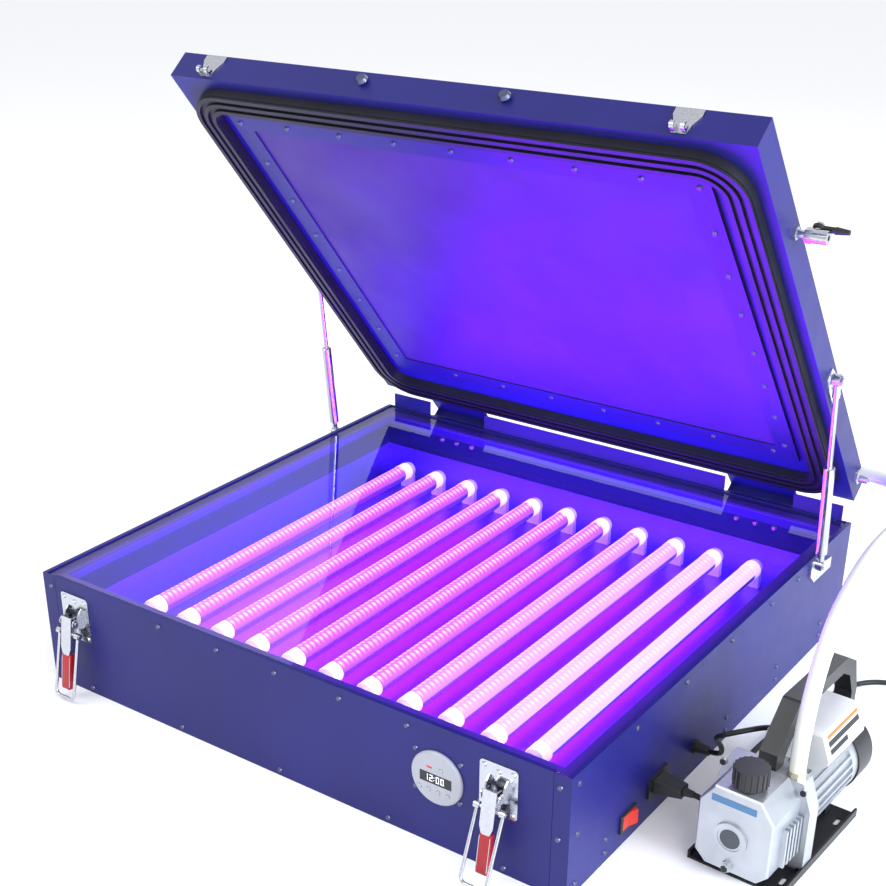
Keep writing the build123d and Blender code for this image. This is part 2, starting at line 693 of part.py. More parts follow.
# ---------------------------------------------------------------- keepers
SEAT_R = WIRE_R + 0.35
KEEPER_T = 2.0
seat_y = LID_FRONT - KEEPER_OUT
seat_z = LID_Z + KEEPER_H
with BuildPart() as latch_keepers:
    for kx in LATCH_X:
        with BuildSketch(lid_face(kx, LID_FRONT, seat_z)):
            with BuildLine():
                Polyline(
                    (-9, -4.4), (9, -4.4), (11, 8), (17, 20), (17, 29), (-17, 29), (-17, 20), (-11, 8),
                    close=True,
                )
            make_face()
        extrude(amount=KEEPER_T)
        # two upturned ears round the hook's seat: local x rearward, local y down the lid's side
        for side in (-9.0, 4.0):
            with BuildSketch(lid_side(kx + side, seat_y, seat_z)) as ear:
                Circle(SEAT_R + KEEPER_T)
                with Locations((KEEPER_OUT / 2, 0)):
                    Rectangle(KEEPER_OUT, 2 * (SEAT_R + KEEPER_T) - 2)
                Circle(SEAT_R, mode=Mode.SUBTRACT)
            extrude(amount=5)
    # open the seats on the side that faces the lid's top
    for kx in LATCH_X:
        mouth = lid_plane(kx, seat_y, seat_z)
        with BuildSketch(mouth):
            Rectangle(22, 2 * SEAT_R)
        extrude(amount=8, mode=Mode.SUBTRACT)
save(latch_keepers.part, "latch_keepers")

# ---------------------------------------------------------------- vacuum port
with BuildPart() as vacuum_port:
    port = lid_side(SIDE, PORT_Y, LID_Z + PORT_H - 8)
    with BuildSketch(port):
        RegularPolygon(10, 6)
    extrude(amount=4)
    with BuildSketch(port):
        Circle(HOSE_BORE_R - 0.1)
    extrude(amount=18)
    with BuildSketch(port):
        Circle(4)
    extrude(amount=18, mode=Mode.SUBTRACT)
save(vacuum_port.part, "vacuum_port")

# ---------------------------------------------------------------- release valve
VALVE_REACH = 24.0          # stem axis out from the lid's side
STEM_R = 3.0
HUB_LOW = 9.0               # hub of the lever above the valve's axis
HUB_T = 4.0
with BuildPart() as valve_body:
    valve = lid_side(SIDE, VALVE_Y, LID_Z + VALVE_H)
    with BuildSketch(valve):
        RegularPolygon(8, 6)
    extrude(amount=4)
    with BuildSketch(valve):
        Circle(5)
    extrude(amount=14)
    with BuildSketch(lid_side(SIDE + 14, VALVE_Y, LID_Z + VALVE_H)):
        RegularPolygon(9.2, 6)
    extrude(amount=8)
    with BuildSketch(lid_side(SIDE + 14, VALVE_Y, LID_Z + VALVE_H)):
        Circle(8)
    extrude(amount=26)
    with BuildSketch(lid_side(SIDE + 36, VALVE_Y, LID_Z + VALVE_H)):
        Circle(3.2)
    extrude(amount=6, mode=Mode.SUBTRACT)
    with BuildSketch(lid_plane(SIDE + VALVE_REACH, VALVE_Y, LID_Z + VALVE_H)):
        Circle(5)
    extrude(amount=HUB_LOW - SIDE_GAP)
    with BuildSketch(lid_plane(SIDE + VALVE_REACH, VALVE_Y, LID_Z + VALVE_H)):
        Circle(STEM_R)
    extrude(amount=HUB_LOW + HUB_T + 3)
    with BuildSketch(lid_plane(SIDE + VALVE_REACH, VALVE_Y, LID_Z + VALVE_H + HUB_LOW + HUB_T + SIDE_GAP)):
        RegularPolygon(5.5, 6)
    extrude(amount=4, taper=12)
save(valve_body.part, "valve_body")

with BuildPart() as valve_lever:
    with BuildSketch(lid_plane(SIDE + VALVE_REACH, VALVE_Y, LID_Z + VALVE_H + HUB_LOW)):
        Circle(7)
        Circle(STEM_R + RUN_GAP, mode=Mode.SUBTRACT)
    extrude(amount=HUB_T)
    with BuildSketch(lid_plane(SIDE + VALVE_REACH, VALVE_Y, LID_Z + VALVE_H + HUB_LOW)):
        with Locations((13, 0)):
            Rectangle(16, 7)
    extrude(amount=HUB_T)
    with BuildSketch(lid_side(SIDE + VALVE_REACH + 20, VALVE_Y, LID_Z + VALVE_H + HUB_LOW + HUB_T / 2)):
        Circle(4.6)
    extrude(amount=16, taper=6)
save(valve_lever.part, "valve_lever")

# ================================================================ HINGES
SEGMENTS = 5
SEGMENT = HINGE_LENGTH / SEGMENTS
hinge_side = Plane(origin=(0, HINGE_Y, HINGE_Z), x_dir=(0, 1, 0), z_dir=(1, 0, 0))
with BuildPart() as hinge_cabinet_leaves:
    for hx in (-HINGE_X, HINGE_X):
        start = hx - HINGE_LENGTH / 2
        leaf_low = Plane(origin=(hx, REAR + LEAF_T / 2, HINGE_Z - LEAF_DEPTH), z_dir=(0, 0, 1))
        with BuildSketch(leaf_low):
            Rectangle(HINGE_LENGTH, LEAF_T)
        extrude(amount=LEAF_DEPTH - KNUCKLE_R - 0.6)
        for i in range(0, SEGMENTS, 2):
            with BuildSketch(hinge_side.offset(start + i * SEGMENT + SIDE_GAP / 2)):
                Circle(KNUCKLE_R)
                with Locations((-HINGE_BACK + LEAF_T / 2, -KNUCKLE_R)):
                    Rectangle(LEAF_T, 2 * KNUCKLE_R)
            extrude(amount=SEGMENT - SIDE_GAP)
        with BuildSketch(hinge_side.offset(start)):
            Circle(HINGE_PIN_R)
        extrude(amount=HINGE_LENGTH)
        for i in (-1, 0, 1):
            with BuildSketch(rear_face(hx + i * HINGE_SCREW_PITCH, HINGE_Z - 20, LEAF_T)):
                Circle(3.6)
            extrude(amount=1.8, taper=28)
save(hinge_cabinet_leaves.part, "hinge_cabinet_leaves")

hinge_open = Plane(origin=(0, HINGE_Y, HINGE_Z), x_dir=(0, math.cos(OPEN), -math.sin(OPEN)), z_dir=(1, 0, 0))
LEAF_FRONT = LID_REAR - 13.5            # front edge of the lid's leaf, short of the seal
rise = LID_Z - HINGE_Z                  # hinge axis up to the lid's flange
with BuildPart() as hinge_lid_leaves:
    for hx in (-HINGE_X, HINGE_X):
        start = hx - HINGE_LENGTH / 2
        # cranked plate: up behind the cabinet, then forward under the lid's rear flange
        with BuildSketch(hinge_open.offset(start)):
            with BuildLine():
                Polyline(
                    (-1, KNUCKLE_R + 0.6), (1, KNUCKLE_R + 0.6), (1, rise), (LEAF_FRONT - HINGE_Y, rise),
                    (LEAF_FRONT - HINGE_Y, rise - LEAF_T), (-1, rise - LEAF_T), close=True,
                )
            make_face()
        extrude(amount=HINGE_LENGTH)
        for i in range(1, SEGMENTS, 2):
            with BuildSketch(hinge_open.offset(start + i * SEGMENT + SIDE_GAP / 2)):
                Circle(KNUCKLE_R)
                with Locations((0, KNUCKLE_R)):
                    Rectangle(LEAF_T, 2 * KNUCKLE_R)
                Circle(HINGE_PIN_R + RUN_GAP, mode=Mode.SUBTRACT)
            extrude(amount=SEGMENT - SIDE_GAP)
        with BuildSketch(lid_plane(hx, LEAF_FRONT + 7, LID_Z - LEAF_T)):
            with GridLocations(HINGE_SCREW_PITCH, 0, 3, 1):
                Circle(3.4)
        extrude(amount=-1.6, taper=28)
save(hinge_lid_leaves.part, "hinge_lid_leaves")

# ================================================================ GAS STRUTS
lid_pivot = opened(0, STRUT_LID_Y, LID_Z + STRUT_LID_H)
strut_angle = math.atan2(lid_pivot[2] - STRUT_Z, lid_pivot[1] - STRUT_Y)
strut_length = math.hypot(lid_pivot[2] - STRUT_Z, lid_pivot[1] - STRUT_Y)
shut_angle = math.atan2(LID_Z + STRUT_LID_H - STRUT_Z, STRUT_LID_Y - STRUT_Y)
shut_length = math.hypot(LID_Z + STRUT_LID_H - STRUT_Z, STRUT_LID_Y - STRUT_Y)
along = (0, math.cos(strut_angle), math.sin(strut_angle))
print("strut open %.2f shut %.2f angles %.3f %.3f" % (
    strut_length, shut_length, math.degrees(strut_angle), math.degrees(shut_angle)))
print("ratio %.5f slide per radian %.6f m" % (
    (shut_angle - strut_angle) / OPEN, (shut_length - strut_length) / 1000 / OPEN))
LID_BOSS = 4.0                          # lid bracket's outer face from the lid's side
FITTING = 24.0                          # upper end fitting

with BuildPart() as strut_cabinet_brackets:
    for hand in (-1, 1):
        plate = side_face(STRUT_Y, STRUT_Z, hand=hand)
        with BuildSketch(plate):
            with BuildLine():
                Polyline(
                    (hand * -11, 7), (hand * 12, 7), (hand * 20, -10), (hand * 62, -14),
                    (hand * 62, -30), (hand * 4, -30), (hand * -11, -16), close=True,
                )
            make_face()
        extrude(amount=3)
        with BuildSketch(plate):
            Circle(7)
        extrude(amount=STRUT_OUT - EYE_W / 2 - SIDE_GAP)
        with BuildSketch(plate):
            Circle(STUD_R)
        extrude(amount=STRUT_OUT + EYE_W / 2 + SIDE_GAP + 2.5)
        with BuildSketch(side_face(STRUT_Y, STRUT_Z, STRUT_OUT + EYE_W / 2 + SIDE_GAP, hand)):
            Circle(6)
        extrude(amount=2.5, taper=15)
        with BuildSketch(side_face(STRUT_Y, STRUT_Z, 3, hand)):
            with Locations((hand * 14, -22), (hand * 50, -22)):
                Circle(4)
        extrude(amount=2, taper=25)
save(strut_cabinet_brackets.part, "strut_cabinet_brackets")

with BuildPart() as strut_lid_brackets:
    for hand in (-1, 1):
        plate = lid_side(hand * SIDE, STRUT_LID_Y, LID_Z + STRUT_LID_H)
        reach = hand * 2.0
        with BuildSketch(plate):
            with BuildLine():
                Polyline((-10, -9), (14, -12), (52, -12), (52, 12), (14, 14), (-10, 9), close=True)
            make_face()
        extrude(amount=reach)
        with BuildSketch(plate):
            Circle(7.5)
        extrude(amount=hand * LID_BOSS)
        with BuildSketch(plate.offset(reach)):
            with Locations((20, 0), (33, 0), (46, 0)):
                Circle(3.4)
        extrude(amount=hand * 1.6)
save(strut_lid_brackets.part, "strut_lid_brackets")

for hand, word in ((-1, "left"), (1, "right")):
    sx = hand * (SIDE + STRUT_OUT)

    def strut_at(distance):
        """A plane square to the strut, this far from its lower pivot."""
        return Plane(
            origin=(sx, STRUT_Y + along[1] * distance, STRUT_Z + along[2] * distance),
            x_dir=(1, 0, 0), z_dir=along,
        )

    def strut_eye(distance):
        """A plane square to the pivots, on the strut's axis."""
        return Plane(
            origin=(sx, STRUT_Y + along[1] * distance, STRUT_Z + along[2] * distance),
            x_dir=along, z_dir=(1, 0, 0),
        )

    with BuildPart() as strut_cylinder:
        with BuildSketch(strut_at(EYE_R - 2)):
            Circle(4.4)
        extrude(amount=14)
        with BuildSketch(strut_at(18)):
            Circle(TUBE_R)
        extrude(amount=TUBE_END - 18)
        chamfer(strut_cylinder.edges().filter_by(GeomType.CIRCLE).filter_by(lambda e: e.radius > 7), 1.2)
        with BuildSketch(strut_eye(0).offset(-EYE_W / 2)):
            Circle(EYE_R)
        extrude(amount=EYE_W)
        with BuildSketch(strut_eye(0).offset(-EYE_W / 2)):
            Circle(STUD_R + RUN_GAP)
        extrude(amount=EYE_W, mode=Mode.SUBTRACT)
        with BuildSketch(strut_at(21)):
            Circle(TUBE_R - TUBE_WALL)
        extrude(amount=TUBE_END - 21 - 6, mode=Mode.SUBTRACT)
        with BuildSketch(strut_at(TUBE_END - 7)):
            Circle(ROD_R + RUN_GAP)
        extrude(amount=8, mode=Mode.SUBTRACT)
    save(strut_cylinder.part, f"{word}_strut_cylinder")

    stub = SIDE + LID_BOSS + 0.02
    with BuildPart() as strut_rod:
        with BuildSketch(strut_at(TUBE_END - 24)):
            Circle(TUBE_R - TUBE_WALL - RUN_GAP)
        extrude(amount=8)
        with BuildSketch(strut_at(TUBE_END - 20)):
            Circle(ROD_R)
        extrude(amount=strut_length - TUBE_END + 20 - 4)
        with BuildSketch(strut_at(strut_length - FITTING)):
            Circle(5)
        extrude(amount=FITTING - 4)
        with BuildSketch(strut_eye(strut_length).offset(-EYE_W / 2)):
            Circle(EYE_R)
        extrude(amount=EYE_W)
        # the rod's own stud, from the lid bracket's face outwards
        stud = Plane(origin=(hand * stub, lid_pivot[1], lid_pivot[2]), x_dir=(0, 1, 0), z_dir=(hand, 0, 0))
        with BuildSketch(stud):
            Circle(STUD_R)
        extrude(amount=STRUT_OUT - LID_BOSS + EYE_W / 2 + 4)
        with BuildSketch(stud.offset(STRUT_OUT - LID_BOSS + EYE_W / 2 - 0.5)):
            RegularPolygon(6.5, 6)
        extrude(amount=3.5)
    save(strut_rod.part, f"{word}_strut_rod")

# ================================================================ LATCHES
lean = math.radians(LEVER_LEAN)
pivot_a = (FRONT - LEVER_Y, LEVER_Z)
pivot_b = (FRONT - TRUNNION_Y, TRUNNION_Z)
HOOK_L = math.dist(pivot_b, (seat_y, seat_z))
print("hook length %.2f, seat y %.2f z %.2f" % (HOOK_L, seat_y, seat_z))
EAR_T = LATCH_T
EAR_IN = EAR_GAP / 2

with BuildPart() as latch_bases:
    for lx in LATCH_X:
        with BuildSketch(front_face(lx, LATCH_BASE_Z + LATCH_BASE_H / 2)):
            RectangleRounded(LATCH_BASE_W, LATCH_BASE_H, 5)
        extrude(amount=LATCH_T)
        for side in (-EAR_IN - EAR_T, EAR_IN):
            # local x is out from the front face, local y is up
            ear_plane = Plane(origin=(lx + side, FRONT, 0), x_dir=(0, -1, 0), z_dir=(-1, 0, 0))
            with BuildSketch(ear_plane):
                with BuildLine():
                    Polyline((0, 100), (8, 103), (LEVER_Y, LEVER_Z), (8, 124), (0, 132), close=True)
                make_face()
                with Locations((LEVER_Y, LEVER_Z)):
                    Circle(6)
            extrude(amount=-EAR_T)
        pin_plane = Plane(origin=(lx - EAR_IN - EAR_T - 1.2, *pivot_a), x_dir=(0, 1, 0), z_dir=(1, 0, 0))
        with BuildSketch(pin_plane):
            Circle(2.5)
        extrude(amount=2 * (EAR_IN + EAR_T + 1.2))
        with BuildSketch(front_face(lx, LATCH_BASE_Z + LATCH_BASE_H / 2, LATCH_T)):
            with Locations((-19, 27), (19, 27), (-19, -27), (19, -27), (0, 24)):
                Circle(3.4)
        extrude(amount=1.8, taper=28)
save(latch_bases.part, "latch_bases")

lever_down = (0, -math.sin(lean), -math.cos(lean))
lever_out = (0, -math.cos(lean), math.sin(lean))
for lx, hang_deg, word in ((LATCH_X[0], HOOK_HANG[0], "left"), (LATCH_X[1], HOOK_HANG[1], "right")):

    def lever_at(down, out):
        """A plane that looks out of the lever's face, local y up the lever."""
        return Plane(
            origin=(
                lx,
                pivot_a[0] + lever_down[1] * down + lever_out[1] * out,
                pivot_a[1] + lever_down[2] * down + lever_out[2] * out,
            ),
            x_dir=(1, 0, 0), z_dir=lever_out,
        )

    with BuildPart() as latch_lever:
        # channel: web outside, two cheeks on the pins
        with BuildSketch(lever_at(19, -5)):
            with BuildLine():
                Polyline((-9, 27), (9, 27), (9, -17), (6, -26), (-6, -26), (-9, -17), close=True)
            make_face()
        extrude(amount=11)
        with BuildSketch(lever_at(16, -5)):
            Rectangle(14, 50)
        extrude(amount=9, mode=Mode.SUBTRACT)
        cross = Plane(origin=(lx - 9, *pivot_a), x_dir=(0, 1, 0), z_dir=(1, 0, 0))
        with BuildSketch(cross):
            Circle(2.5 + RUN_GAP)
        extrude(amount=18, mode=Mode.SUBTRACT)
        with BuildSketch(Plane(origin=(lx - 21.5, *pivot_b), x_dir=(0, 1, 0), z_dir=(1, 0, 0))):
            Circle(2.5)
        extrude(amount=43)
        with BuildSketch(lever_at(44.7, 5).offset(-2)):
            Rectangle(11, 1.6)
        extrude(amount=3)
        # moulded grip
        with BuildSketch(lever_at(45.5 + GRIP_LENGTH / 2, 6 - GRIP_T)):
            RectangleRounded(GRIP_W, GRIP_LENGTH, 5)
        extrude(amount=GRIP_T)
    save(latch_lever.part, f"{word}_latch_lever")

    hang = math.radians(hang_deg)
    hook_plane = Plane(origin=(lx, *pivot_b), x_dir=(1, 0, 0), z_dir=(0, -math.cos(hang), math.sin(hang)))
    with BuildPart() as latch_hook:
        for side in (-20.5, 13.5):
            block = Plane(origin=(lx + side, *pivot_b), x_dir=(0, 1, 0), z_dir=(1, 0, 0))
            with BuildSketch(block):
                Circle(4.5)
            extrude(amount=7)
        half = HOOK_W / 2
        with BuildLine(hook_plane) as wire:
            leg = half - 2
            FilletPolyline((-leg, -3), (-leg, -HOOK_L), (leg, -HOOK_L), (leg, -3), radius=8)
        with BuildSketch(Plane(origin=wire.line @ 0, z_dir=wire.line % 0)):
            Circle(WIRE_R)
        sweep(path=wire.line)
        with BuildSketch(Plane(origin=(lx - 22, *pivot_b), x_dir=(0, 1, 0), z_dir=(1, 0, 0))):
            Circle(2.5 + RUN_GAP)
        extrude(amount=44, mode=Mode.SUBTRACT)
    save(latch_hook.part, f"{word}_latch_hook")

# ================================================================ VACUUM PUMP
# ---------------------------------------------------------------- base channel
with BuildPart() as pump_base:
    length = BASE_END - BASE_START
    with BuildSketch(pump_floor(0, (BASE_START + BASE_END) / 2, 0)):
        Rectangle(BASE_W, length)
    extrude(amount=BASE_RAIL)
    with BuildSketch(pump_floor(0, (BASE_START + BASE_END) / 2, BASE_T)):
        Rectangle(BASE_W - 2 * BASE_T, length)
    extrude(amount=BASE_RAIL, mode=Mode.SUBTRACT)
    # two pads that carry the motor, and four slots for fixing it down
    for v in (120, 190):
        with BuildSketch(pump_floor(0, v, BASE_T)):
            Rectangle(60, 14)
        extrude(amount=MOTOR_Z - MOTOR_R - BASE_T + 2)
    with BuildSketch(pump_floor(0, 0, 0)):
        with Locations((-47, 40), (47, 40), (-47, 180), (47, 180)):
            SlotOverall(16, 6, rotation=90)
    extrude(amount=BASE_T, mode=Mode.SUBTRACT)
    with BuildSketch(pump_front(0, 80, MOTOR_Z)):
        Circle(MOTOR_R + 0.04)
    extrude(amount=-130, mode=Mode.SUBTRACT)
save(pump_base.part, "pump_base")

# ---------------------------------------------------------------- oil case
case_h = CASE_TOP - CASE_BOTTOM
half = CASE_W / 2
with BuildPart() as pump_oil_case:
    with BuildSketch(pump_front(0, 0, CASE_BOTTOM)):
        with BuildLine():
            Polyline(
                (-half + CASE_CUT_LOW, 0), (half - CASE_CUT_LOW, 0), (half, CASE_CUT_LOW),
                (half, case_h - CASE_CUT_W), (half - CASE_CUT_U, case_h), (-half + CASE_CUT_U, case_h),
                (-half, case_h - CASE_CUT_W), (-half, CASE_CUT_LOW), close=True,
            )
        make_face()
    extrude(amount=-CASE_L)
    chamfer(pump_oil_case.faces().sort_by(Axis((0, 0, 0), pump_front(0, 0, 0).z_dir))[-1].edges(), 2)
    # cooling fins down both flanks
    for hand in (-1, 1):
        for i in range(FIN_COUNT):
            v = 26 + i * 8.4
            with BuildSketch(pump_floor(hand * (half + 2.5), v, CASE_BOTTOM + CASE_CUT_LOW + 3)):
                Rectangle(7, 4)
            extrude(amount=48)
    # ring round the sight glass, and the drain boss below it
    with BuildSketch(pump_front(-2.7, 0, GLASS_EYE_Z)):
        Circle(GLASS_EYE_R + 5)
    extrude(amount=3)
    with BuildSketch(pump_front(-2.7, -3, GLASS_EYE_Z)):
        Circle(GLASS_EYE_R)
    extrude(amount=-2.4, mode=Mode.SUBTRACT)
    with BuildSketch(pump_front(-2.7, -0.6, GLASS_EYE_Z)):
        Circle(GLASS_EYE_R - 0.1)
    extrude(amount=1.6)
    with BuildSketch(pump_front(-3, 0, CASE_BOTTOM + 9)):
        Circle(6.5)
    extrude(amount=4)
    with BuildSketch(pump_front(-3, -4, CASE_BOTTOM + 9)):
        RegularPolygon(5, 6)
    extrude(amount=4)
save(pump_oil_case.part, "pump_oil_case")

# ---------------------------------------------------------------- flange plate
with BuildPart() as pump_flange:
    plate_h = PLATE_TOP - PLATE_BOTTOM
    edge = PLATE_W / 2
    with BuildSketch(pump_front(0, CASE_L, PLATE_BOTTOM)):
        with BuildLine():
            Polyline(
                (-edge, 0), (edge, 0), (edge, plate_h - 34), (edge - 12, plate_h),
                (-edge + 12, plate_h), (-edge, plate_h - 34), close=True,
            )
        make_face()
    extrude(amount=-PLATE_T)
    # the channel of the base passes under it
    with BuildSketch(pump_floor(0, CASE_L + PLATE_T / 2, 0)):
        with Locations((-BASE_W / 2, 0), (BASE_W / 2, 0)):
            Rectangle(2 * BASE_T + 1, PLATE_T + 1)
    extrude(amount=BASE_RAIL + 0.2, mode=Mode.SUBTRACT)
    with BuildSketch(pump_floor(0, CASE_L + PLATE_T / 2, BASE_T)):
        with Locations((-40, 0), (40, 0)):
            Rectangle(18, 16)
    extrude(amount=PLATE_BOTTOM - BASE_T)
    with BuildSketch(pump_front(0, CASE_L, 0)):
        with Locations((47.8, 109.6), (-50, 109.6)):
            Circle(4.2)
    extrude(amount=3)
save(pump_flange.part, "pump_flange")

# ---------------------------------------------------------------- motor
RIBS = 28
with BuildPart() as pump_motor:
    motor_face = pump_front(0, CASE_L + PLATE_T, MOTOR_Z)
    with BuildSketch(motor_face):
        Circle(MOTOR_R - 4)
    extrude(amount=-(MOTOR_END - CASE_L - PLATE_T))
    with BuildSketch(motor_face.offset(-10)):
        Circle(MOTOR_R - 3)
        with PolarLocations(MOTOR_R - 3, RIBS):
            Rectangle(6, 3)
        Circle(MOTOR_R - 12, mode=Mode.SUBTRACT)
    extrude(amount=-(MOTOR_END - CASE_L - PLATE_T - 24))
    with BuildSketch(motor_face):
        Circle(MOTOR_R)
    extrude(amount=-10)
    with BuildSketch(motor_face.offset(-(MOTOR_END - CASE_L - PLATE_T) + 14)):
        Circle(MOTOR_R)
    extrude(amount=-14)
save(pump_motor.part, "pump_motor")

# ---------------------------------------------------------------- fan cover
with BuildPart() as pump_fan_cover:
    cover_face = pump_front(0, MOTOR_END, MOTOR_Z)
    depth = COVER_END - MOTOR_END
    with BuildSketch(cover_face):
        Circle(COVER_R)
    extrude(amount=-depth)
    fillet(pump_fan_cover.edges().group_by(Axis((0, 0, 0), cover_face.z_dir))[0], 6)
    with BuildSketch(cover_face):
        Circle(COVER_R - 3)
    extrude(amount=-(depth - 3), mode=Mode.SUBTRACT)
    # air slots in the rear face
    with BuildSketch(cover_face.offset(-depth)):
        with PolarLocations(26, 16):
            SlotOverall(26, 4.5)
    extrude(amount=4, mode=Mode.SUBTRACT)
save(pump_fan_cover.part, "pump_fan_cover")

# ---------------------------------------------------------------- terminal box
TB_U = 9.6
TB_LOW = 100.0
TB_START = 122.0
TB_END = 218.0
with BuildPart() as pump_terminal_box:
    with BuildSketch(pump_front(TB_U, TB_START, 0)):
        with BuildLine():
            Polyline(
                (-34, TB_LOW), (26, TB_LOW), (38, 112), (38, 119), (27, 148), (-28, 148), (-38, 132), (-38, 112),
                close=True,
            )
        make_face()
    extrude(amount=-(TB_END - TB_START))
    chamfer(pump_terminal_box.edges().group_by(Axis.Z)[-1], 2)
    with BuildSketch(pump_front(0, TB_START, MOTOR_Z)):
        Circle(MOTOR_R + 0.04)
    extrude(amount=-(TB_END - TB_START), mode=Mode.SUBTRACT)
save(pump_terminal_box.part, "pump_terminal_box")
print("terminal box left side x %.2f y %.2f" % pump_point(TB_U - 38, 150, 0)[:2])

# ---------------------------------------------------------------- handle
HANDLE_W = 22.0
with BuildPart() as pump_handle:
    with BuildSketch(pump_side(-HANDLE_W / 2, 0, 0)) as handle_outline:
        with BuildLine():
            Polyline(
                (66, PLATE_TOP), (66, 140), (112, 188), (236, 188), (262, 172), (276, 128), (276, 84),
                (COVER_END, 84), (COVER_END, 128), (248, 158), (228, 170), (126, 170), (104, 148), (86.4, 128),
                (86.4, PLATE_TOP), close=True,
            )
        make_face()
    extrude(amount=HANDLE_W)
    fillet(pump_handle.edges().filter_by(Axis((0, 0, 0), pump_side(0, 0, 0).z_dir)).group_by(Axis.Z)[-1], 6)
save(pump_handle.part, "pump_handle")

# ---------------------------------------------------------------- oil filler cap
with BuildPart() as pump_oil_cap:
    with BuildSketch(pump_floor(CAP_U, CAP_V, CASE_TOP)):
        Circle(CAP_R - 4)
    extrude(amount=5)
    with BuildSketch(pump_floor(CAP_U, CAP_V, CASE_TOP + 5)):
        Circle(CAP_R)
        with PolarLocations(CAP_R, 18):
            Circle(1.3)
    extrude(amount=CAP_H - 5)
save(pump_oil_cap.part, "pump_oil_cap")

# ---------------------------------------------------------------- inlet with its hose clamp
with BuildPart() as pump_inlet:
    with BuildSketch(pump_floor(PUMP_PORT_U, PUMP_PORT_V, PLATE_TOP)):
        RegularPolygon(11, 6)
    extrude(amount=8)
    with BuildSketch(pump_floor(PUMP_PORT_U, PUMP_PORT_V, PLATE_TOP + 8)):
        Circle(HOSE_BORE_R - 0.1)
        Circle(3.5, mode=Mode.SUBTRACT)
    extrude(amount=22)
save(pump_inlet.part, "pump_inlet")
inlet_x, inlet_y, _ = pump_point(PUMP_PORT_U, PUMP_PORT_V, 0)
HOSE_LOW = PLATE_TOP + 8.0

# ================================================================ CORDS AND HOSE


def run_line(points):
    """Straight runs joined by arcs as large as the runs allow."""
    radii = []
    for a, b, c in zip(points, points[1:], points[2:]):
        first = Vector(*b) - Vector(*a)
        second = Vector(*c) - Vector(*b)
        turn = math.radians(first.get_angle(second))
        radii.append(0.45 * min(first.length, second.length) / math.tan(turn / 2))
    print("radii", " ".join("%.0f" % r for r in radii))
    with BuildLine() as line:
        FilletPolyline(*points, radius=radii)
    return line.line


def tube(points, radius, name, bore=0.0):
    line = run_line(points)
    with BuildPart() as cord:
        with BuildSketch(Plane(origin=line @ 0, z_dir=line % 0)):
            Circle(radius)
            if bore:
                Circle(bore, mode=Mode.SUBTRACT)
        sweep(path=line)
    section = math.pi * (radius**2 - bore**2)
    length = sum(edge.length for edge in line.edges())
    print(name, "length %.0f, volume over section times length %.4f" % (
        length, cord.part.volume / (section * length)))
    save(cord.part, name)
    return cord.part


# ---------------------------------------------------------------- vacuum hose
port_at = opened(SIDE, PORT_Y, LID_Z + PORT_H - 8)
hose_points = [
    (inlet_x, inlet_y, HOSE_LOW),
    (inlet_x, inlet_y, 172),
    (574, -156, 238),
    (573, -112, 296),
    (572, -30, 328),
    (570, 62, 326),
    (562, 150, 306),
    (545, 232, 284),
    (516, 305, 264),
    (474, 362, port_at[2] + 3),
    (444, port_at[1], port_at[2]),
    (SIDE + 4.0, port_at[1], port_at[2]),
]
tube(hose_points, HOSE_R, "vacuum_hose", HOSE_BORE_R)

# ---------------------------------------------------------------- pump lead
LEAD_R = 3.3
box_side = pump_point(TB_U - 38.05, 146, 119)
box_near = pump_point(TB_U - 47.05, 146, 119)
lead_points = [
    (SIDE + GLAND_OUT, GLAND_Y, GLAND_Z),
    (SIDE + GLAND_OUT + 13, GLAND_Y, GLAND_Z),
    (454, -100, 62),
    (455, -120, 84),
    (461, -140, 103),
    (475, -148, 116),
    (491, -137, 121),
    box_near,
    box_side,
]
tube(lead_points, LEAD_R, "pump_lead")

# ---------------------------------------------------------------- mains lead and its two plugs
CORD_R = 3.5
PLUG_END = SIDE + 48.0
with BuildPart() as iec_plug:
    with BuildSketch(side_face(INLET_Y, INLET_Z, INLET_T - 16)):
        Rectangle(SOCKET_W - 1.6, SOCKET_H - 1.6)
    extrude(amount=16)
    with BuildSketch(side_face(INLET_Y, INLET_Z, INLET_T)):
        RectangleRounded(28, 21, 3)
    with BuildSketch(side_face(INLET_Y, INLET_Z, 36)):
        RectangleRounded(19, 15, 4)
    loft()
    with BuildSketch(side_face(INLET_Y, INLET_Z, 36)):
        Circle(5.6)
    extrude(amount=12, taper=7)
save(iec_plug.part, "iec_plug")

COIL_X = 625.0
COIL_Y = 312.0
COIL_R = 49.8               # outside of the coil's turns
COIL_BORE = 22.0
COIL_H = 14.4
TURN_R = 46.0               # middle line of the outermost turn
cord_points = [
    (PLUG_END, INLET_Y, INLET_Z),
    (PLUG_END + 11, INLET_Y, INLET_Z),
    (PLUG_END + 15, INLET_Y + 14, INLET_Z - 16),
    (470, -145, 12),
    (461, -102, CORD_R + 0.1),
    (453, -20, CORD_R + 0.1),
    (459, 66, CORD_R + 0.1),
    (475, 146, CORD_R + 0.1),
    (489, 214, CORD_R + 0.1),
    (512, 252, CORD_R + 0.1),
    (552, 269, CORD_R + 0.1),
    (596, COIL_Y - TURN_R - 0.2, CORD_R + 0.1),
    (614, COIL_Y - TURN_R, CORD_R + 0.1),
]
tube(cord_points, CORD_R, "mains_lead")

# the spare length, wound up in two layers
with BuildPart() as mains_lead_coil:
    with BuildSketch(Plane.XY.offset(0.1)):
        with Locations((COIL_X, COIL_Y)):
            Circle(COIL_R)
            Circle(COIL_BORE, mode=Mode.SUBTRACT)
    extrude(amount=COIL_H)
    fillet(mains_lead_coil.edges().filter_by(GeomType.CIRCLE), 3.4)
save(mains_lead_coil.part, "mains_lead_coil")

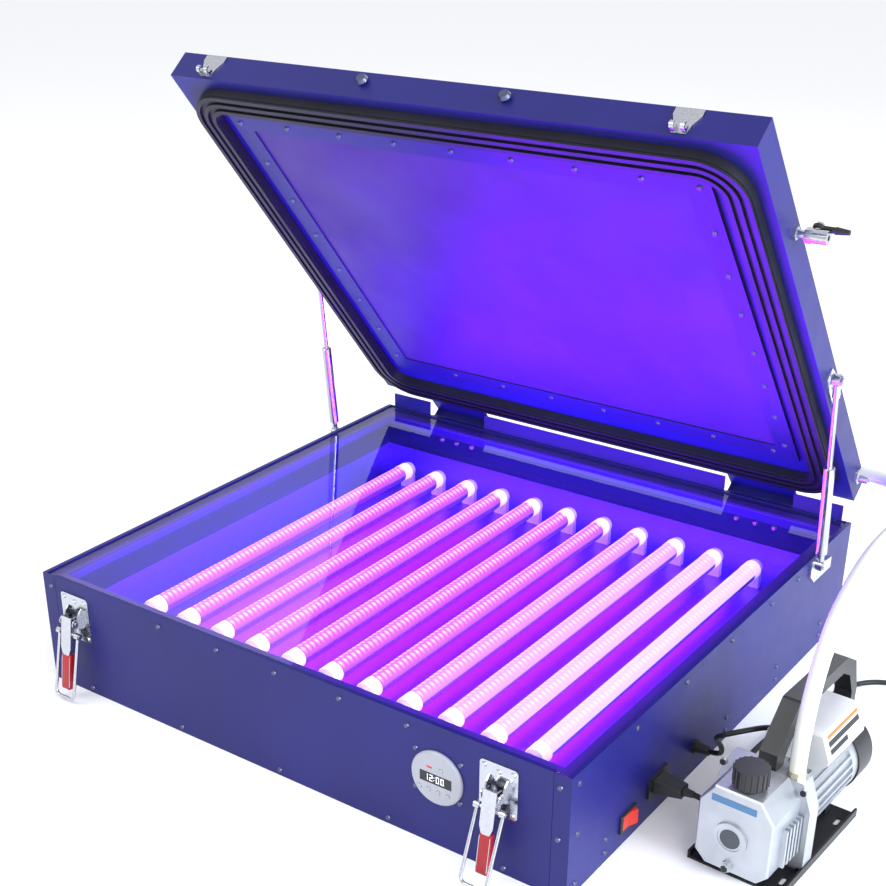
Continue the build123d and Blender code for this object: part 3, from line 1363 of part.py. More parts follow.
PLUG_X = 603.0
PLUG_Z = 11.8
plug_plane = Plane(origin=(PLUG_X, COIL_Y + TURN_R, PLUG_Z), x_dir=(0, 1, 0), z_dir=(-1, 0, 0))
with BuildPart() as mains_plug:
    with BuildSketch(plug_plane):
        Circle(5.4)
    extrude(amount=14, taper=-7)
    with BuildSketch(plug_plane.offset(14)):
        RectangleRounded(20, 16, 4)
    with BuildSketch(plug_plane.offset(44)):
        RectangleRounded(32, 23, 4)
    loft()
    with BuildSketch(plug_plane.offset(44)):
        with Locations((-9.5, 0), (9.5, 0)):
            Rectangle(4.8, 4.0)
    extrude(amount=18)
save(mains_plug.part, "mains_plug")
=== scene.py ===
"""Looks for the screen printing exposure unit: paint, glass, lamps, rubber, latches, pump and cords.

Everything is in metres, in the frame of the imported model.
"""

import math

import bmesh
import bpy
from mathutils import Matrix, Vector


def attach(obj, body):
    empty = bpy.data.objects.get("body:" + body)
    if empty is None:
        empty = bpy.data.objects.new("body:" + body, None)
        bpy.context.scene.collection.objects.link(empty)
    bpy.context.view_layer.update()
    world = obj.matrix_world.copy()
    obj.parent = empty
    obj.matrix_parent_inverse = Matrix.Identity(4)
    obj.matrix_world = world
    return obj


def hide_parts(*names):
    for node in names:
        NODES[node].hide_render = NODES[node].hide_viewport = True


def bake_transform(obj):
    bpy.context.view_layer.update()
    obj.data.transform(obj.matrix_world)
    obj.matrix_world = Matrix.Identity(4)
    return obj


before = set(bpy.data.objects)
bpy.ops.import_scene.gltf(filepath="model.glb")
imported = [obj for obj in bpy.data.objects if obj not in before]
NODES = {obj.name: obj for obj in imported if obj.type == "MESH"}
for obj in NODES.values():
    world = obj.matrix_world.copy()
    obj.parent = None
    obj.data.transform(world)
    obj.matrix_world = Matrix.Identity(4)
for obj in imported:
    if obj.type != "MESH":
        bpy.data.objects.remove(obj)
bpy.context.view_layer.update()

# ------------------------------------------------------------------ sizes shared by the pieces
MM = 0.001
LAMP_COUNT, LAMP_PITCH = 11, 0.0615
LAMP_AREA_DEPTH = 0.58
EMITTER_PITCH = 0.0088
PUMP_AT = Vector((0.5404, -0.2551, 0.0))
PUMP_TURN = math.radians(-2.8)

# the pump's own axes: u to its right, v to its rear, w up
TO_PUMP = Matrix.Translation(PUMP_AT) @ Matrix.Rotation(PUMP_TURN, 4, "Z")


# ------------------------------------------------------------------ mesh helpers
def finish_piece(name, shape, material, body, place=None, smooth=35, stands_for=()):
    """Turns a bmesh into a piece: placed in its mesh, shaded, painted and riding on its body."""
    if place is not None:
        bmesh.ops.transform(shape, matrix=place, verts=shape.verts)
    bmesh.ops.remove_doubles(shape, verts=shape.verts, dist=1e-6)
    bmesh.ops.recalc_face_normals(shape, faces=shape.faces)
    mesh = bpy.data.meshes.new(name)
    shape.to_mesh(mesh)
    shape.free()
    piece = bpy.data.objects.new(name, mesh)
    bpy.context.scene.collection.objects.link(piece)
    for m in material if isinstance(material, (list, tuple)) else [material]:
        mesh.materials.append(m)
    mesh.shade_smooth()
    mesh.set_sharp_from_angle(angle=math.radians(smooth))
    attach(piece, body)
    if stands_for:
        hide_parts(*stands_for)
    return piece


def paint_node(material, *names):
    """Gives CAD nodes their finish."""
    for name in names:
        mesh = NODES[name].data
        mesh.materials.clear()
        mesh.materials.append(material)


# ------------------------------------------------------------------ material helpers
def new_material(name, color, roughness, metallic=0.0):
    """A principled material, and the makings to add nodes to it."""
    m = bpy.data.materials.new(name)
    m.use_nodes = True
    tree = m.node_tree
    shader = tree.nodes["Principled BSDF"]
    shader.inputs["Base Color"].default_value = (*color, 1)
    shader.inputs["Roughness"].default_value = roughness
    shader.inputs["Metallic"].default_value = metallic
    return m, tree, shader


def node(tree, kind, **values):
    """A node with its settings and its plain inputs."""
    made = tree.nodes.new("ShaderNode" + kind)
    for key, value in values.items():
        if hasattr(made, key):
            setattr(made, key, value)
        else:
            made.inputs[key.replace("_", " ").title()].default_value = value
    return made


def object_coords(tree, scale=(1, 1, 1), turn=(0, 0, 0)):
    """Object coordinates through a mapping."""
    source = node(tree, "TexCoord")
    mapping = node(tree, "Mapping")
    mapping.inputs["Scale"].default_value = scale
    mapping.inputs["Rotation"].default_value = turn
    tree.links.new(source.outputs["Object"], mapping.inputs["Vector"])
    return mapping.outputs["Vector"]


def noise(tree, vector, scale, detail=3.0, roughness=0.55):
    made = node(tree, "TexNoise", scale=scale, detail=detail, roughness=roughness)
    tree.links.new(vector, made.inputs["Vector"])
    return made.outputs["Fac"]


def ramp(tree, fac, *stops):
    """A colour ramp through (place, colour) stops."""
    made = node(tree, "ValToRGB")
    elements = made.color_ramp.elements
    while len(elements) < len(stops):
        elements.new(0.5)
    for element, (place, color) in zip(elements, stops):
        element.position = place
        element.color = (*color, 1) if len(color) == 3 else color
    tree.links.new(fac, made.inputs["Fac"])
    return made.outputs["Color"]


def grey(value):
    return (value, value, value)


def add_bump(tree, shader, height, strength, distance):
    bump = node(tree, "Bump")
    bump.inputs["Strength"].default_value = strength
    bump.inputs["Distance"].default_value = distance
    tree.links.new(height, bump.inputs["Height"])
    tree.links.new(bump.outputs["Normal"], shader.inputs["Normal"])


# ------------------------------------------------------------------ materials
def blue_powder_coat(name, color, roughness):
    """Baked enamel: a fine orange peel, and a little unevenness in shade."""
    m, tree, shader = new_material(name, color, roughness)
    vector = object_coords(tree)
    darker = tuple(c * 0.86 for c in color)
    lighter = tuple(min(1, c * 1.12) for c in color)
    shade = ramp(tree, noise(tree, vector, 5.0), (0.3, darker), (0.7, lighter))
    tree.links.new(shade, shader.inputs["Base Color"])
    smoother, rougher = grey(roughness - 0.02), grey(roughness + 0.03)
    gloss = ramp(tree, noise(tree, vector, 22.0), (0.3, smoother), (0.7, rougher))
    tree.links.new(gloss, shader.inputs["Roughness"])
    shader.inputs["Specular IOR Level"].default_value = 0.3
    add_bump(tree, shader, noise(tree, vector, 1400.0, 2.0), 0.12, 0.0004)
    return m


def bright_metal(name, color, roughness, streaks=(60, 60, 60), scratch=0.1):
    """Plated or polished metal with faint rub marks."""
    m, tree, shader = new_material(name, color, roughness, 1.0)
    vector = object_coords(tree, streaks)
    marks = noise(tree, vector, 6.0, 5.0)
    gloss = ramp(tree, marks, (0.3, grey(max(0.03, roughness - 0.08))), (0.72, grey(roughness + 0.12)))
    tree.links.new(gloss, shader.inputs["Roughness"])
    shade = ramp(tree, marks, (0.25, tuple(c * 0.82 for c in color)), (0.6, color))
    tree.links.new(shade, shader.inputs["Base Color"])
    add_bump(tree, shader, marks, scratch, 0.0002)
    return m


def cast_alloy(name, color, roughness):
    """Sand or die cast aluminium with a bead-blasted grain."""
    m, tree, shader = new_material(name, color, roughness, 0.75)
    vector = object_coords(tree)
    shade = ramp(tree, noise(tree, vector, 18.0, 4.0), (0.3, tuple(c * 0.8 for c in color)), (0.7, color))
    tree.links.new(shade, shader.inputs["Base Color"])
    add_bump(tree, shader, noise(tree, vector, 1100.0, 3.0), 0.35, 0.0005)
    return m


def moulded_plastic(name, color, roughness, grain=900.0, strength=0.15):
    m, tree, shader = new_material(name, color, roughness)
    vector = object_coords(tree)
    shade = ramp(tree, noise(tree, vector, 14.0), (0.3, tuple(c * 0.85 for c in color)), (0.7, color))
    tree.links.new(shade, shader.inputs["Base Color"])
    add_bump(tree, shader, noise(tree, vector, grain, 2.0), strength, 0.0004)
    return m


def soft_rubber(name, color, roughness, grain=600.0, coat=0.0):
    m, tree, shader = new_material(name, color, roughness)
    shader.inputs["Coat Weight"].default_value = coat
    shader.inputs["Specular IOR Level"].default_value = 0.3
    vector = object_coords(tree)
    shade = ramp(tree, noise(tree, vector, 7.0, 5.0), (0.3, tuple(c * 0.7 for c in color)), (0.7, color))
    tree.links.new(shade, shader.inputs["Base Color"])
    smoother, rougher = grey(roughness - 0.08), grey(roughness + 0.1)
    gloss = ramp(tree, noise(tree, vector, 9.0), (0.3, smoother), (0.7, rougher))
    tree.links.new(gloss, shader.inputs["Roughness"])
    add_bump(tree, shader, noise(tree, vector, grain, 2.0), 0.12, 0.0004)
    return m


def pane_glass(name):
    """Clear float glass: it lets light through and mirrors more at a low angle."""
    m, tree, shader = new_material(name, (0.95, 0.97, 1.0), 0.03, 1.0)
    fresnel = node(tree, "Fresnel")
    fresnel.inputs["IOR"].default_value = 1.5
    # only the face towards the eye mirrors
    side = node(tree, "NewGeometry")
    front = node(tree, "Math", operation="SUBTRACT", use_clamp=True)
    tree.links.new(fresnel.outputs["Fac"], front.inputs[0])
    tree.links.new(side.outputs["Backfacing"], front.inputs[1])
    tree.links.new(front.outputs[0], shader.inputs["Alpha"])
    return m


def lamp_glow(name):
    """Two rows of bright emitters behind a clear cover, on a violet glow."""
    m, tree, shader = new_material(name, (0.10, 0.06, 0.16), 0.25)
    vector = object_coords(tree, (1 / LAMP_PITCH, 1 / EMITTER_PITCH, 1))
    parts = node(tree, "SeparateXYZ")
    tree.links.new(vector, parts.inputs["Vector"])

    def math_node(operation, a, b=None):
        made = node(tree, "Math", operation=operation)
        for i, value in enumerate((a, b)):
            if value is None:
                continue
            if isinstance(value, (int, float)):
                made.inputs[i].default_value = value
            else:
                tree.links.new(value, made.inputs[i])
        return made.outputs[0]

    # across a tube, -0.5 to 0.5 of the pitch; along it, one wave for each pair of emitters
    across = math_node("SUBTRACT", math_node("FRACT", math_node("ADD", parts.outputs["X"], 50.5)), 0.5)
    off = math_node("ABSOLUTE", across)
    side = math_node("SUBTRACT", off, 0.085)
    shift = math_node("MULTIPLY", math_node("SIGN", across), 0.25)
    run = math_node("ADD", parts.outputs["Y"], math_node("ADD", shift, 90.0))
    along = math_node("SUBTRACT", math_node("FRACT", run), 0.5)
    reach = math_node(
        "SQRT",
        math_node(
            "ADD",
            math_node("POWER", math_node("MULTIPLY", side, 9.0), 2.0),
            math_node("POWER", math_node("MULTIPLY", along, 1.9), 2.0),
        ),
    )
    light = ramp(
        tree, reach, (0.25, (1.0, 0.88, 1.0)), (0.50, (0.92, 0.36, 0.92)), (0.95, (0.45, 0.07, 0.90))
    )
    # the tubes at the right burn almost white
    whiter = node(tree, "MapRange")
    for key, value in (("From Min", 1.0), ("From Max", 5.0), ("To Min", 0.0), ("To Max", 0.7)):
        whiter.inputs[key].default_value = value
    tree.links.new(parts.outputs["X"], whiter.inputs["Value"])
    mixed = node(tree, "Mix", data_type="RGBA")
    tree.links.new(whiter.outputs["Result"], mixed.inputs[0])
    tree.links.new(light, mixed.inputs[6])
    mixed.inputs[7].default_value = (1.0, 0.93, 1.0, 1)
    tree.links.new(mixed.outputs[2], shader.inputs["Emission Color"])
    shader.inputs["Emission Strength"].default_value = 1.1
    return m


def glow_white(name, color, strength):
    m, tree, shader = new_material(name, (0.9, 0.9, 0.95), 0.3)
    vector = object_coords(tree)
    brighter = tuple(min(1, c * 1.2) for c in color)
    shade = ramp(tree, noise(tree, vector, 90.0), (0.3, color), (0.7, brighter))
    tree.links.new(shade, shader.inputs["Emission Color"])
    shader.inputs["Emission Strength"].default_value = strength
    return m


PAINT = blue_powder_coat("cabinet blue enamel", (0.011, 0.010, 0.135), 0.40)
# the inner enamel is the cabinet blue made lighter and more violet: painted light of the violet lamps on
# the inside walls and ledge
INNER_PAINT_LAMPLIT = blue_powder_coat("inner blue enamel, painted lamp light", (0.050, 0.020, 0.30), 0.30)
ZINC = bright_metal("zinc plate", (0.74, 0.75, 0.80), 0.30)
# screw heads drawn as dark bluish-black metal rather than bright zinc plate
DARK_SCREW = bright_metal("dark bluish screw", (0.12, 0.13, 0.22), 0.34)
# the reflector is pale sheet; its strong violet colour is painted light of the lamps above it
TRAY_LAMPLIT = bright_metal("reflector sheet, painted lamp light", (0.34, 0.16, 0.92), 0.42)
STRIP = blue_powder_coat("strip enamel", (0.014, 0.011, 0.10), 0.34)
CHROME = bright_metal("latch plating", (0.56, 0.57, 0.62), 0.18, scratch=0.03)
STRUT_METAL = bright_metal("strut plating", (0.55, 0.55, 0.62), 0.14, streaks=(60, 60, 8))
BRASS = bright_metal("dull brass", (0.62, 0.56, 0.42), 0.32)
ALLOY = cast_alloy("cast alloy", (0.50, 0.52, 0.56), 0.34)
BLACK_PLASTIC = moulded_plastic("black moulding", (0.012, 0.012, 0.014), 0.38)
GREY_PLASTIC = moulded_plastic("grey moulding", (0.40, 0.41, 0.47), 0.35)
RED_GRIP = moulded_plastic("red grip", (0.36, 0.008, 0.012), 0.30)
RED_LENS = moulded_plastic("red rocker", (0.62, 0.03, 0.015), 0.22)
WHITE_LABEL = moulded_plastic("white enamel", (0.62, 0.62, 0.63), 0.35)
BLACK_STEEL = blue_powder_coat("black enamel", (0.012, 0.012, 0.014), 0.35)
SEAL_RUBBER = soft_rubber("seal rubber", (0.012, 0.012, 0.018), 0.38)
# the blanket is dark rubber; its violet tint is painted glow of the lamps' light on it
BLANKET_RUBBER_LAMPLIT = soft_rubber("blanket rubber, painted violet light", (0.050, 0.018, 0.13), 0.44, 300.0)
CABLE = soft_rubber("cable sheath", (0.012, 0.012, 0.013), 0.42, 500.0)
GLASS = pane_glass("bed glass")
LAMP_GLOW = lamp_glow("lamp glow")
# the end caps give off no light themselves; their pink-white emission is painted glow of the tubes' light
# on them
CAP_PAINTED_GLOW = glow_white("lamp cap painted glow", (0.86, 0.62, 0.95), 0.7)
HOLDER = moulded_plastic("lamp holder", (0.62, 0.60, 0.72), 0.4)
LAMP_BACK = bright_metal("lamp back", (0.7, 0.66, 0.8), 0.35)
HOSE_CLEAR, _, hose_shader = new_material("clear hose", (0.60, 0.61, 0.57), 0.16)
hose_shader.inputs["Coat Weight"].default_value = 0.4

paint_node(PAINT, "side_panels", "front_panel", "rear_panel", "base_panel", "lid_pan")
paint_node(PAINT, "hinge_cabinet_leaves", "hinge_lid_leaves")
paint_node(STRIP, "blanket_frame")
paint_node(INNER_PAINT_LAMPLIT, "glass_ledge")
paint_node(TRAY_LAMPLIT, "reflector_tray")
paint_node(GLASS, "exposure_glass")
paint_node(LAMP_GLOW, "lamp_covers")
paint_node(CAP_PAINTED_GLOW, "lamp_end_caps")
paint_node(HOLDER, "lamp_holders")
paint_node(LAMP_BACK, "lamp_heatsinks")
paint_node(DARK_SCREW, "panel_screws", "lid_screws")
paint_node(ZINC, "strut_cabinet_brackets", "strut_lid_brackets", "vacuum_port")
paint_node(GREY_PLASTIC, "timer_body", *[f"timer_button_{i}" for i in range(1, 6)])
paint_node(BLACK_PLASTIC, "switch_body", "mains_inlet", "cord_gland", "iec_plug", "mains_plug")
paint_node(BLACK_PLASTIC, "pump_fan_cover")
paint_node(BLACK_PLASTIC, "pump_handle", "pump_oil_cap", "valve_lever", "timer_display")
paint_node(RED_LENS, "switch_rocker")
paint_node(CHROME, "latch_bases", "latch_keepers", "valve_body")
paint_node(CHROME, *[f"{w}_latch_{k}" for w in ("left", "right") for k in ("lever", "hook")])
paint_node(STRUT_METAL, *[f"{w}_strut_{k}" for w in ("left", "right") for k in ("cylinder", "rod")])
paint_node(SEAL_RUBBER, "lid_seal")
paint_node(BLANKET_RUBBER_LAMPLIT, "rubber_blanket")
paint_node(BRASS, "pump_inlet")
paint_node(ALLOY, "pump_oil_case", "pump_flange", "pump_motor")
paint_node(BLACK_STEEL, "pump_base")
paint_node(WHITE_LABEL, "pump_terminal_box")
paint_node(CABLE, "pump_lead", "mains_lead", "mains_lead_coil")


# ------------------------------------------------------------------ cords and hose
def route_curve(name, points, diameter, sides):
    """A round cord on one smooth spline, with the route's points as its control points."""
    curve = bpy.data.curves.new(name, "CURVE")
    curve.dimensions = "3D"
    spline = curve.splines.new("NURBS")
    spline.points.add(len(points) - 1)
    for point, at in zip(spline.points, points):
        point.co = (*at, 1)
    spline.order_u = 3
    spline.use_endpoint_u = True
    spline.resolution_u = 10
    curve.bevel_depth = diameter / 2
    curve.bevel_resolution = sides
    curve.use_fill_caps = True
    piece = bpy.data.objects.new(name, curve)
    bpy.context.scene.collection.objects.link(piece)
    return piece


def tube_from(curve_piece):
    """The curve as a mesh tube, and the points of its own middle line."""
    curve = curve_piece.data
    depth = curve.bevel_depth
    name = curve_piece.name
    curve.bevel_depth = 0
    bpy.context.view_layer.update()
    line = bpy.data.meshes.new_from_object(curve_piece.evaluated_get(bpy.context.evaluated_depsgraph_get()))
    path = [v.co.copy() for v in line.vertices]
    curve.bevel_depth = depth
    bpy.context.view_layer.update()
    mesh = bpy.data.meshes.new_from_object(curve_piece.evaluated_get(bpy.context.evaluated_depsgraph_get()))
    bpy.data.objects.remove(curve_piece)
    tube = bpy.data.objects.new(name, mesh)
    bpy.context.scene.collection.objects.link(tube)
    mesh.shade_smooth()
    return tube, path


def in_metres(points):
    return [tuple(c * MM for c in p) for p in points]


# vacuum hose, from the pump's inlet to the port on the lid
HOSE_D = 0.019
HOSE_POINTS = in_metres([
    (575.996, -181.752, 127), (575.996, -181.752, 172), (574, -156, 238), (573, -112, 296), (572, -30, 328),
    (570, 62, 326), (562, 150, 306), (545, 232, 284), (516, 305, 264), (474, 362, 244.7),
    (444, 384.1, 241.7), (414, 384.1, 241.7),
])


def make_hose():
    hose, path = tube_from(route_curve("clear_hose", HOSE_POINTS, HOSE_D, 6))
    hose.data.materials.append(HOSE_CLEAR)
    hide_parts("vacuum_hose")
    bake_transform(hose)


make_hose()

# lead from the cabinet's gland to the pump's terminal box
LEAD_D = 0.0066
LEAD_POINTS = in_metres([
    (432, -85, 41), (445, -85, 41), (454, -100, 62), (455, -120, 84), (461, -140, 103), (475, -148, 116),
    (491, -137, 121), (510.5, -107.4, 119), (519.2, -107.8, 119),
])

# mains lead, its spare length wound up out of sight behind the pump
CORD_D = 0.007
COIL_AT = (0.625, 0.312)
COIL_OUT, COIL_IN, COIL_TURNS, TURN_POINTS = 0.046, 0.0262, 5.5, 12
FLOOR_LEVEL, SECOND_LEVEL = 0.0036, 0.0108
CORD_RUN = in_metres([
    (458, -181, 43), (469, -181, 43), (473, -167, 27), (470, -145, 12), (461, -102, 3.6), (453, -20, 3.6),
    (459, 66, 3.6), (475, 146, 3.6), (489, 214, 3.6), (512, 252, 3.6), (552, 269, 3.6), (596, 265.8, 3.6),
])
CORD_TAIL = in_metres([(610, 357.9, 11.2), (603, 358, 11.8)])


def coil_points():
    """Turns that wind in on the floor and out again on top of themselves."""
    steps = int(COIL_TURNS * TURN_POINTS)
    points = []
    for i in range(steps + 1):
        share = i / steps
        bearing = math.radians(-90) + 2 * math.pi * COIL_TURNS * share
        inward = 1 - abs(2 * share - 1)
        reach = COIL_OUT - (COIL_OUT - COIL_IN) * inward
        climb = min(1.0, max(0.0, (share - 0.5) * COIL_TURNS * 2 + 0.5))
        height = FLOOR_LEVEL + (SECOND_LEVEL - FLOOR_LEVEL) * climb
        x, y = COIL_AT[0] + reach * math.cos(bearing), COIL_AT[1] + reach * math.sin(bearing)
        points.append((x, y, height))
    return points


def make_leads():
    lead, path = tube_from(route_curve("pump_supply_lead", LEAD_POINTS, LEAD_D, 4))
    lead.data.materials.append(CABLE)
    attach(lead, "cabinet")
    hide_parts("pump_lead")
    points = CORD_RUN + coil_points() + CORD_TAIL
    cord, path = tube_from(route_curve("mains_cord", points, CORD_D, 4))
    cord.data.materials.append(CABLE)
    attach(cord, "cabinet")
    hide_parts("mains_lead", "mains_lead_coil")


make_leads()


# ------------------------------------------------------------------ small pieces
def add_box(shape, low, high):
    """A box between two corners."""
    middle = (Vector(low) + Vector(high)) / 2
    size = Vector(high) - Vector(low)
    place = Matrix.Translation(middle) @ Matrix.Diagonal((*size, 1))
    return bmesh.ops.create_cube(shape, size=1, matrix=place)["verts"]


def add_disc(shape, middle, axis, radius, depth, top=None, sides=40):
    """A round plug whose middle and axis are given; top is the radius of its outer end."""
    turn = Vector(axis).to_track_quat("Z", "Y").to_matrix().to_4x4()
    bmesh.ops.create_cone(
        shape, cap_ends=True, segments=sides, radius1=radius, radius2=radius if top is None else top,
        depth=depth, matrix=Matrix.Translation(middle) @ turn,
    )


def round_edges(shape, offset, segments=3):
    bmesh.ops.bevel(
        shape, geom=shape.edges[:], offset=offset, segments=segments,
        affect="EDGES", profile=0.5, material=-1,
    )


LATCHES = (("left", -0.3508), ("right", 0.320))
LEVER_AT = (-0.401, 0.112)
LEVER_LEAN = math.radians(9)


def make_grips():
    """Red sleeves on the lower ends of the latch levers."""
    for word, x in LATCHES:
        grip = bmesh.new()
        add_box(grip, (-0.0081, -0.0064, -0.0966), (0.0081, 0.0034, -0.0448))
        round_edges(grip, 0.0028, 4)
        place = Matrix.Translation((x, *LEVER_AT)) @ Matrix.Rotation(-LEVER_LEAN, 4, "X")
        finish_piece(f"{word}_latch_grip", grip, RED_GRIP, f"{word}_latch_lever", place)


def make_rear_strip():
    """Light strip behind the bed, between and beside the hinges, and the hinge screws' inner ends."""
    strip = bmesh.new()
    for x0, x1 in ((-0.396, -0.322), (-0.214, 0.214), (0.322, 0.396)):
        add_box(strip, (x0, 0.3842, 0.1632), (x1, 0.3856, 0.1862))
    finish_piece("rear_light_strip", strip, PAINT, "cabinet")
    ends = bmesh.new()
    for hinge in (-0.268, 0.268):
        for step in (-0.03, 0.0, 0.03):
            add_disc(ends, (hinge + step, 0.3836, 0.1245), (0, -1, 0), 0.0042, 0.003, 0.0028, 24)
    # the screw ends are coloured pink as painted lamp light
    finish_piece("hinge_screw_ends", ends, LAMPLIT_SCREW_METAL, "cabinet")


SEGMENTS = {"0": "abcdef", "1": "bc", "2": "abged"}
LCD_AT = Vector((0.2371, 0.0, 0.0933))


def add_digit(shape, sign, x, z, y, w=0.0042, h=0.0085, t=0.0009):
    """One figure of a seven bar display, from its lower left corner."""
    bars = {
        "a": (0, h - t, w, h), "g": (0, (h - t) / 2, w, (h + t) / 2), "d": (0, 0, w, t),
        "b": (w - t, h / 2, w, h), "c": (w - t, 0, w, h / 2), "f": (0, h / 2, t, h), "e": (0, 0, t, h / 2),
    }
    for key in SEGMENTS[sign]:
        x0, z0, x1, z1 = bars[key]
        add_box(shape, (x + x0, y - 0.0002, z + z0), (x + x1, y, z + z1))


def make_display():
    face = min(v.co.y for v in NODES["timer_display"].data.vertices)
    figures = bmesh.new()
    for step, sign in ((-0.0150, "1"), (-0.0085, "2"), (0.0005, "0"), (0.0070, "0")):
        add_digit(figures, sign, LCD_AT.x + step, LCD_AT.z - 0.0042, face)
    for dz in (-0.002, 0.0018):
        add_box(
            figures, (LCD_AT.x - 0.0028, face - 0.0002, LCD_AT.z + dz - 0.0005),
            (LCD_AT.x - 0.0017, face, LCD_AT.z + dz + 0.0005),
        )
    finish_piece("timer_figures", figures, LCD_FIGURE, "cabinet")
    front = min(v.co.y for v in NODES["timer_body"].data.vertices)
    mark = bmesh.new()
    add_box(mark, (0.2250, front - 0.0002, 0.1065), (0.2320, front, 0.1090))
    finish_piece("timer_mark", mark, RED_LENS, "cabinet")


BOX_U, BOX_LOW, BOX_HIGH = 0.0096, (0.038, 0.119), (0.027, 0.148)


def make_pump_details():
    """Sight glass, plates and bolts of the pump; every print on them is left bare."""
    eye = bmesh.new()
    add_disc(eye, (-0.0027, -0.0018, 0.0614), (0, -1, 0), 0.0128, 0.0022, 0.0118)
    finish_piece("pump_sight_glass", eye, EYE_GLASS, "cabinet", TO_PUMP)
    ring = bmesh.new()
    add_disc(ring, (-0.0027, -0.0012, 0.0614), (0, -1, 0), 0.0149, 0.0014)
    finish_piece("pump_sight_ring", ring, BLACK_PLASTIC, "cabinet", TO_PUMP)
    plate = bmesh.new()
    add_box(plate, (-0.0300, -0.0004, 0.1020), (0.0240, 0.0004, 0.1105))
    finish_piece("pump_front_plate", plate, PLATE_BLUE, "cabinet", TO_PUMP)
    bolts = bmesh.new()
    for u in (0.0478, -0.050):
        add_disc(bolts, (u, 0.0606, 0.1096), (0, -1, 0), 0.0040, 0.0026, 0.0036, 6)
    add_disc(bolts, (-0.003, -0.0084, 0.024), (0, -1, 0), 0.0047, 0.0010, 0.0040, 6)
    finish_piece("pump_bolts", bolts, BLACK_STEEL, "cabinet", TO_PUMP)
    # a label on the slope of the terminal box: a pale field with an orange and two dark bands
    low = Vector((BOX_U + BOX_LOW[0], 0, BOX_LOW[1]))
    up = Vector((BOX_U + BOX_HIGH[0], 0, BOX_HIGH[1])) - low
    out = Vector((up.z, 0, -up.x)).normalized()
    for name, material, v0, v1, s0, s1, lift in (
        ("pump_label", WHITE_LABEL, 0.1290, 0.2110, 0.04, 0.90, 0.0004),
        ("pump_label_orange", ORANGE, 0.1310, 0.2090, 0.72, 0.86, 0.0006),
        ("pump_label_dark_1", BLACK_STEEL, 0.1310, 0.2090, 0.40, 0.62, 0.0006),
        ("pump_label_dark_2", BLACK_STEEL, 0.1310, 0.1750, 0.10, 0.30, 0.0006),
    ):
        label = bmesh.new()
        corners = []
        for depth in (-0.0002, lift):
            for v, share in ((v0, s0), (v1, s0), (v1, s1), (v0, s1)):
                corners.append(label.verts.new(low + up * share + out * depth + Vector((0, v, 0))))
        bmesh.ops.contextual_create(label, geom=corners[:4])
        bmesh.ops.contextual_create(label, geom=corners[4:])
        bmesh.ops.bridge_loops(label, edges=label.edges[:])
        finish_piece(name, label, material, "cabinet", TO_PUMP)


EYE_GLASS = moulded_plastic("sight glass", (0.05, 0.06, 0.075), 0.08, strength=0.0)
PLATE_BLUE = moulded_plastic("blue plate", (0.06, 0.17, 0.34), 0.3)
ORANGE = moulded_plastic("orange band", (0.72, 0.14, 0.015), 0.4)
# plain screw metal; the pink colour is painted light of the lamps falling on the screw ends
LAMPLIT_SCREW_METAL = bright_metal("lit screw end", (0.95, 0.45, 0.75), 0.4)
LCD_FIGURE = glow_white("display figures", (0.55, 0.62, 0.75), 0.9)

make_grips()
make_rear_strip()
make_display()
make_pump_details()


# ------------------------------------------------------------------ stage, lights and camera
def make_stage():
    floor_shape = bmesh.new()
    bmesh.ops.create_grid(floor_shape, x_segments=1, y_segments=1, size=80)
    mesh = bpy.data.meshes.new("floor")
    floor_shape.to_mesh(mesh)
    floor_shape.free()
    floor = bpy.data.objects.new("floor", mesh)
    bpy.context.scene.collection.objects.link(floor)
    m, tree, shader = new_material("pale floor", (0.97, 0.97, 0.97), 0.8)
    mesh.materials.append(m)


def area_light(name, at, towards, size, power, color=(1, 1, 1), size_y=None):
    data = bpy.data.lights.new(name, "AREA")
    data.energy = power
    data.color = color
    data.size = size
    if size_y:
        data.shape = "RECTANGLE"
        data.size_y = size_y
    light = bpy.data.objects.new(name, data)
    bpy.context.scene.collection.objects.link(light)
    light.location = at
    light.rotation_euler = (Vector(towards) - Vector(at)).to_track_quat("-Z", "Y").to_euler()
    light.visible_camera = False
    return light


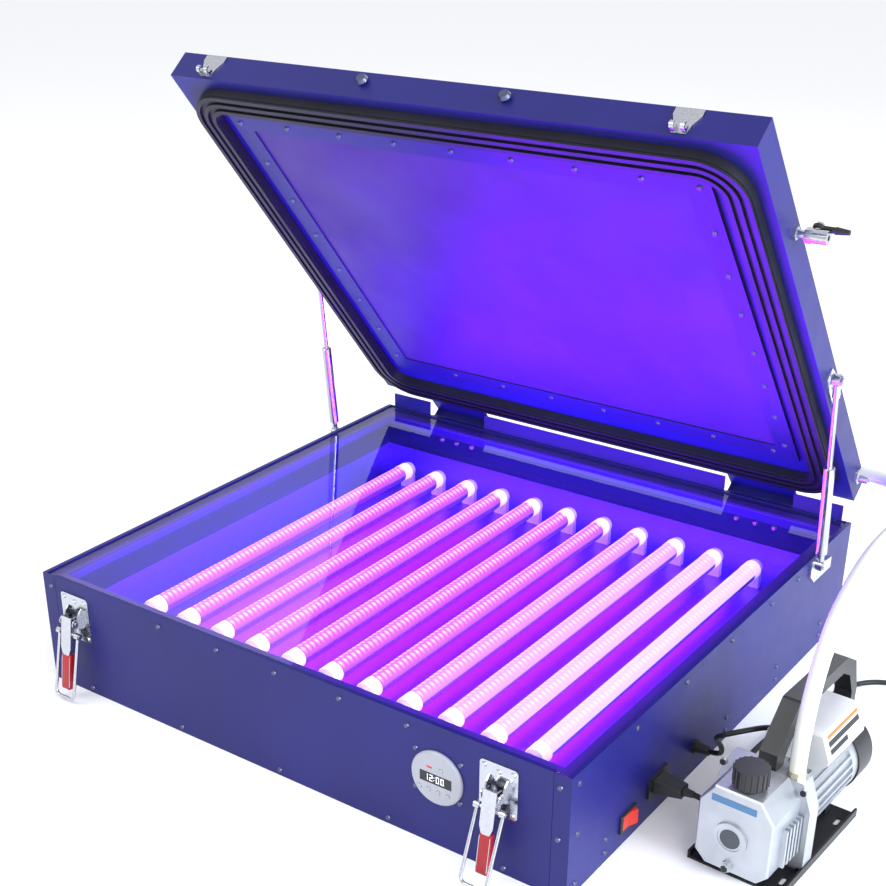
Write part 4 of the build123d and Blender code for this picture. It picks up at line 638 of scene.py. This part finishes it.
def make_lights():
    world = bpy.data.worlds.new("studio")
    bpy.context.scene.world = world
    world.use_nodes = True
    tree = world.node_tree
    background = tree.nodes["Background"]
    background.inputs["Color"].default_value = (0.96, 0.975, 1.0, 1)
    background.inputs["Strength"].default_value = 0.95
    white = tree.nodes.new("ShaderNodeBackground")
    white.inputs["Color"].default_value = (1, 1, 1, 1)
    seen = tree.nodes.new("ShaderNodeLightPath")
    both = tree.nodes.new("ShaderNodeMixShader")
    tree.links.new(seen.outputs["Is Camera Ray"], both.inputs["Fac"])
    tree.links.new(background.outputs["Background"], both.inputs[1])
    tree.links.new(white.outputs["Background"], both.inputs[2])
    tree.links.new(both.outputs["Shader"], tree.nodes["World Output"].inputs["Surface"])
    area_light("key", (-1.6, -2.2, 2.6), (0, 0, 0.2), 1.8, 45)
    area_light("fill", (2.4, -1.6, 1.8), (0.2, 0, 0.2), 1.6, 40)
    area_light("back", (0.4, 2.4, 2.4), (0, 0, 0.3), 1.6, 30)
    area_light("right", (3.0, -0.3, 1.1), (0.4, 0, 0.15), 1.4, 105, (0.74, 0.87, 1.0))
    # the lamps' own light, up onto the lid
    span = LAMP_PITCH * LAMP_COUNT
    area_light("lamp light", (0, 0, 0.116), (0, 0.0001, 1), span, 17, (0.17, 0.006, 1.0), LAMP_AREA_DEPTH)
    area_light("lamp spill", (0, 0, 0.118), (0, 0.0001, -1), span, 12, (0.26, 0.012, 1.0), LAMP_AREA_DEPTH)


CAMERA_AT = (1.0304, -1.5171, 1.0630)
CAMERA_AZIMUTH, CAMERA_ELEVATION, CAMERA_ROLL = 36.484, 27.804, -0.426
CAMERA_LENS = 60.12
CAMERA_SHIFT = (0.0419, 0.1653)


def make_camera():
    data = bpy.data.cameras.new("camera")
    camera = bpy.data.objects.new("camera", data)
    bpy.context.scene.collection.objects.link(camera)
    a, e = math.radians(CAMERA_AZIMUTH), math.radians(CAMERA_ELEVATION)
    back = Vector((math.sin(a) * math.cos(e), -math.cos(a) * math.cos(e), math.sin(e)))
    turn = (-back).to_track_quat("-Z", "Y").to_matrix() @ Matrix.Rotation(math.radians(CAMERA_ROLL), 3, "Z")
    camera.location = CAMERA_AT
    camera.rotation_euler = turn.to_euler()
    data.lens = CAMERA_LENS
    data.sensor_width = 36.0
    data.shift_x, data.shift_y = CAMERA_SHIFT
    data.clip_end = 400
    bpy.context.scene.camera = camera


make_stage()
make_lights()
make_camera()
bpy.context.scene.view_settings.view_transform = "Standard"
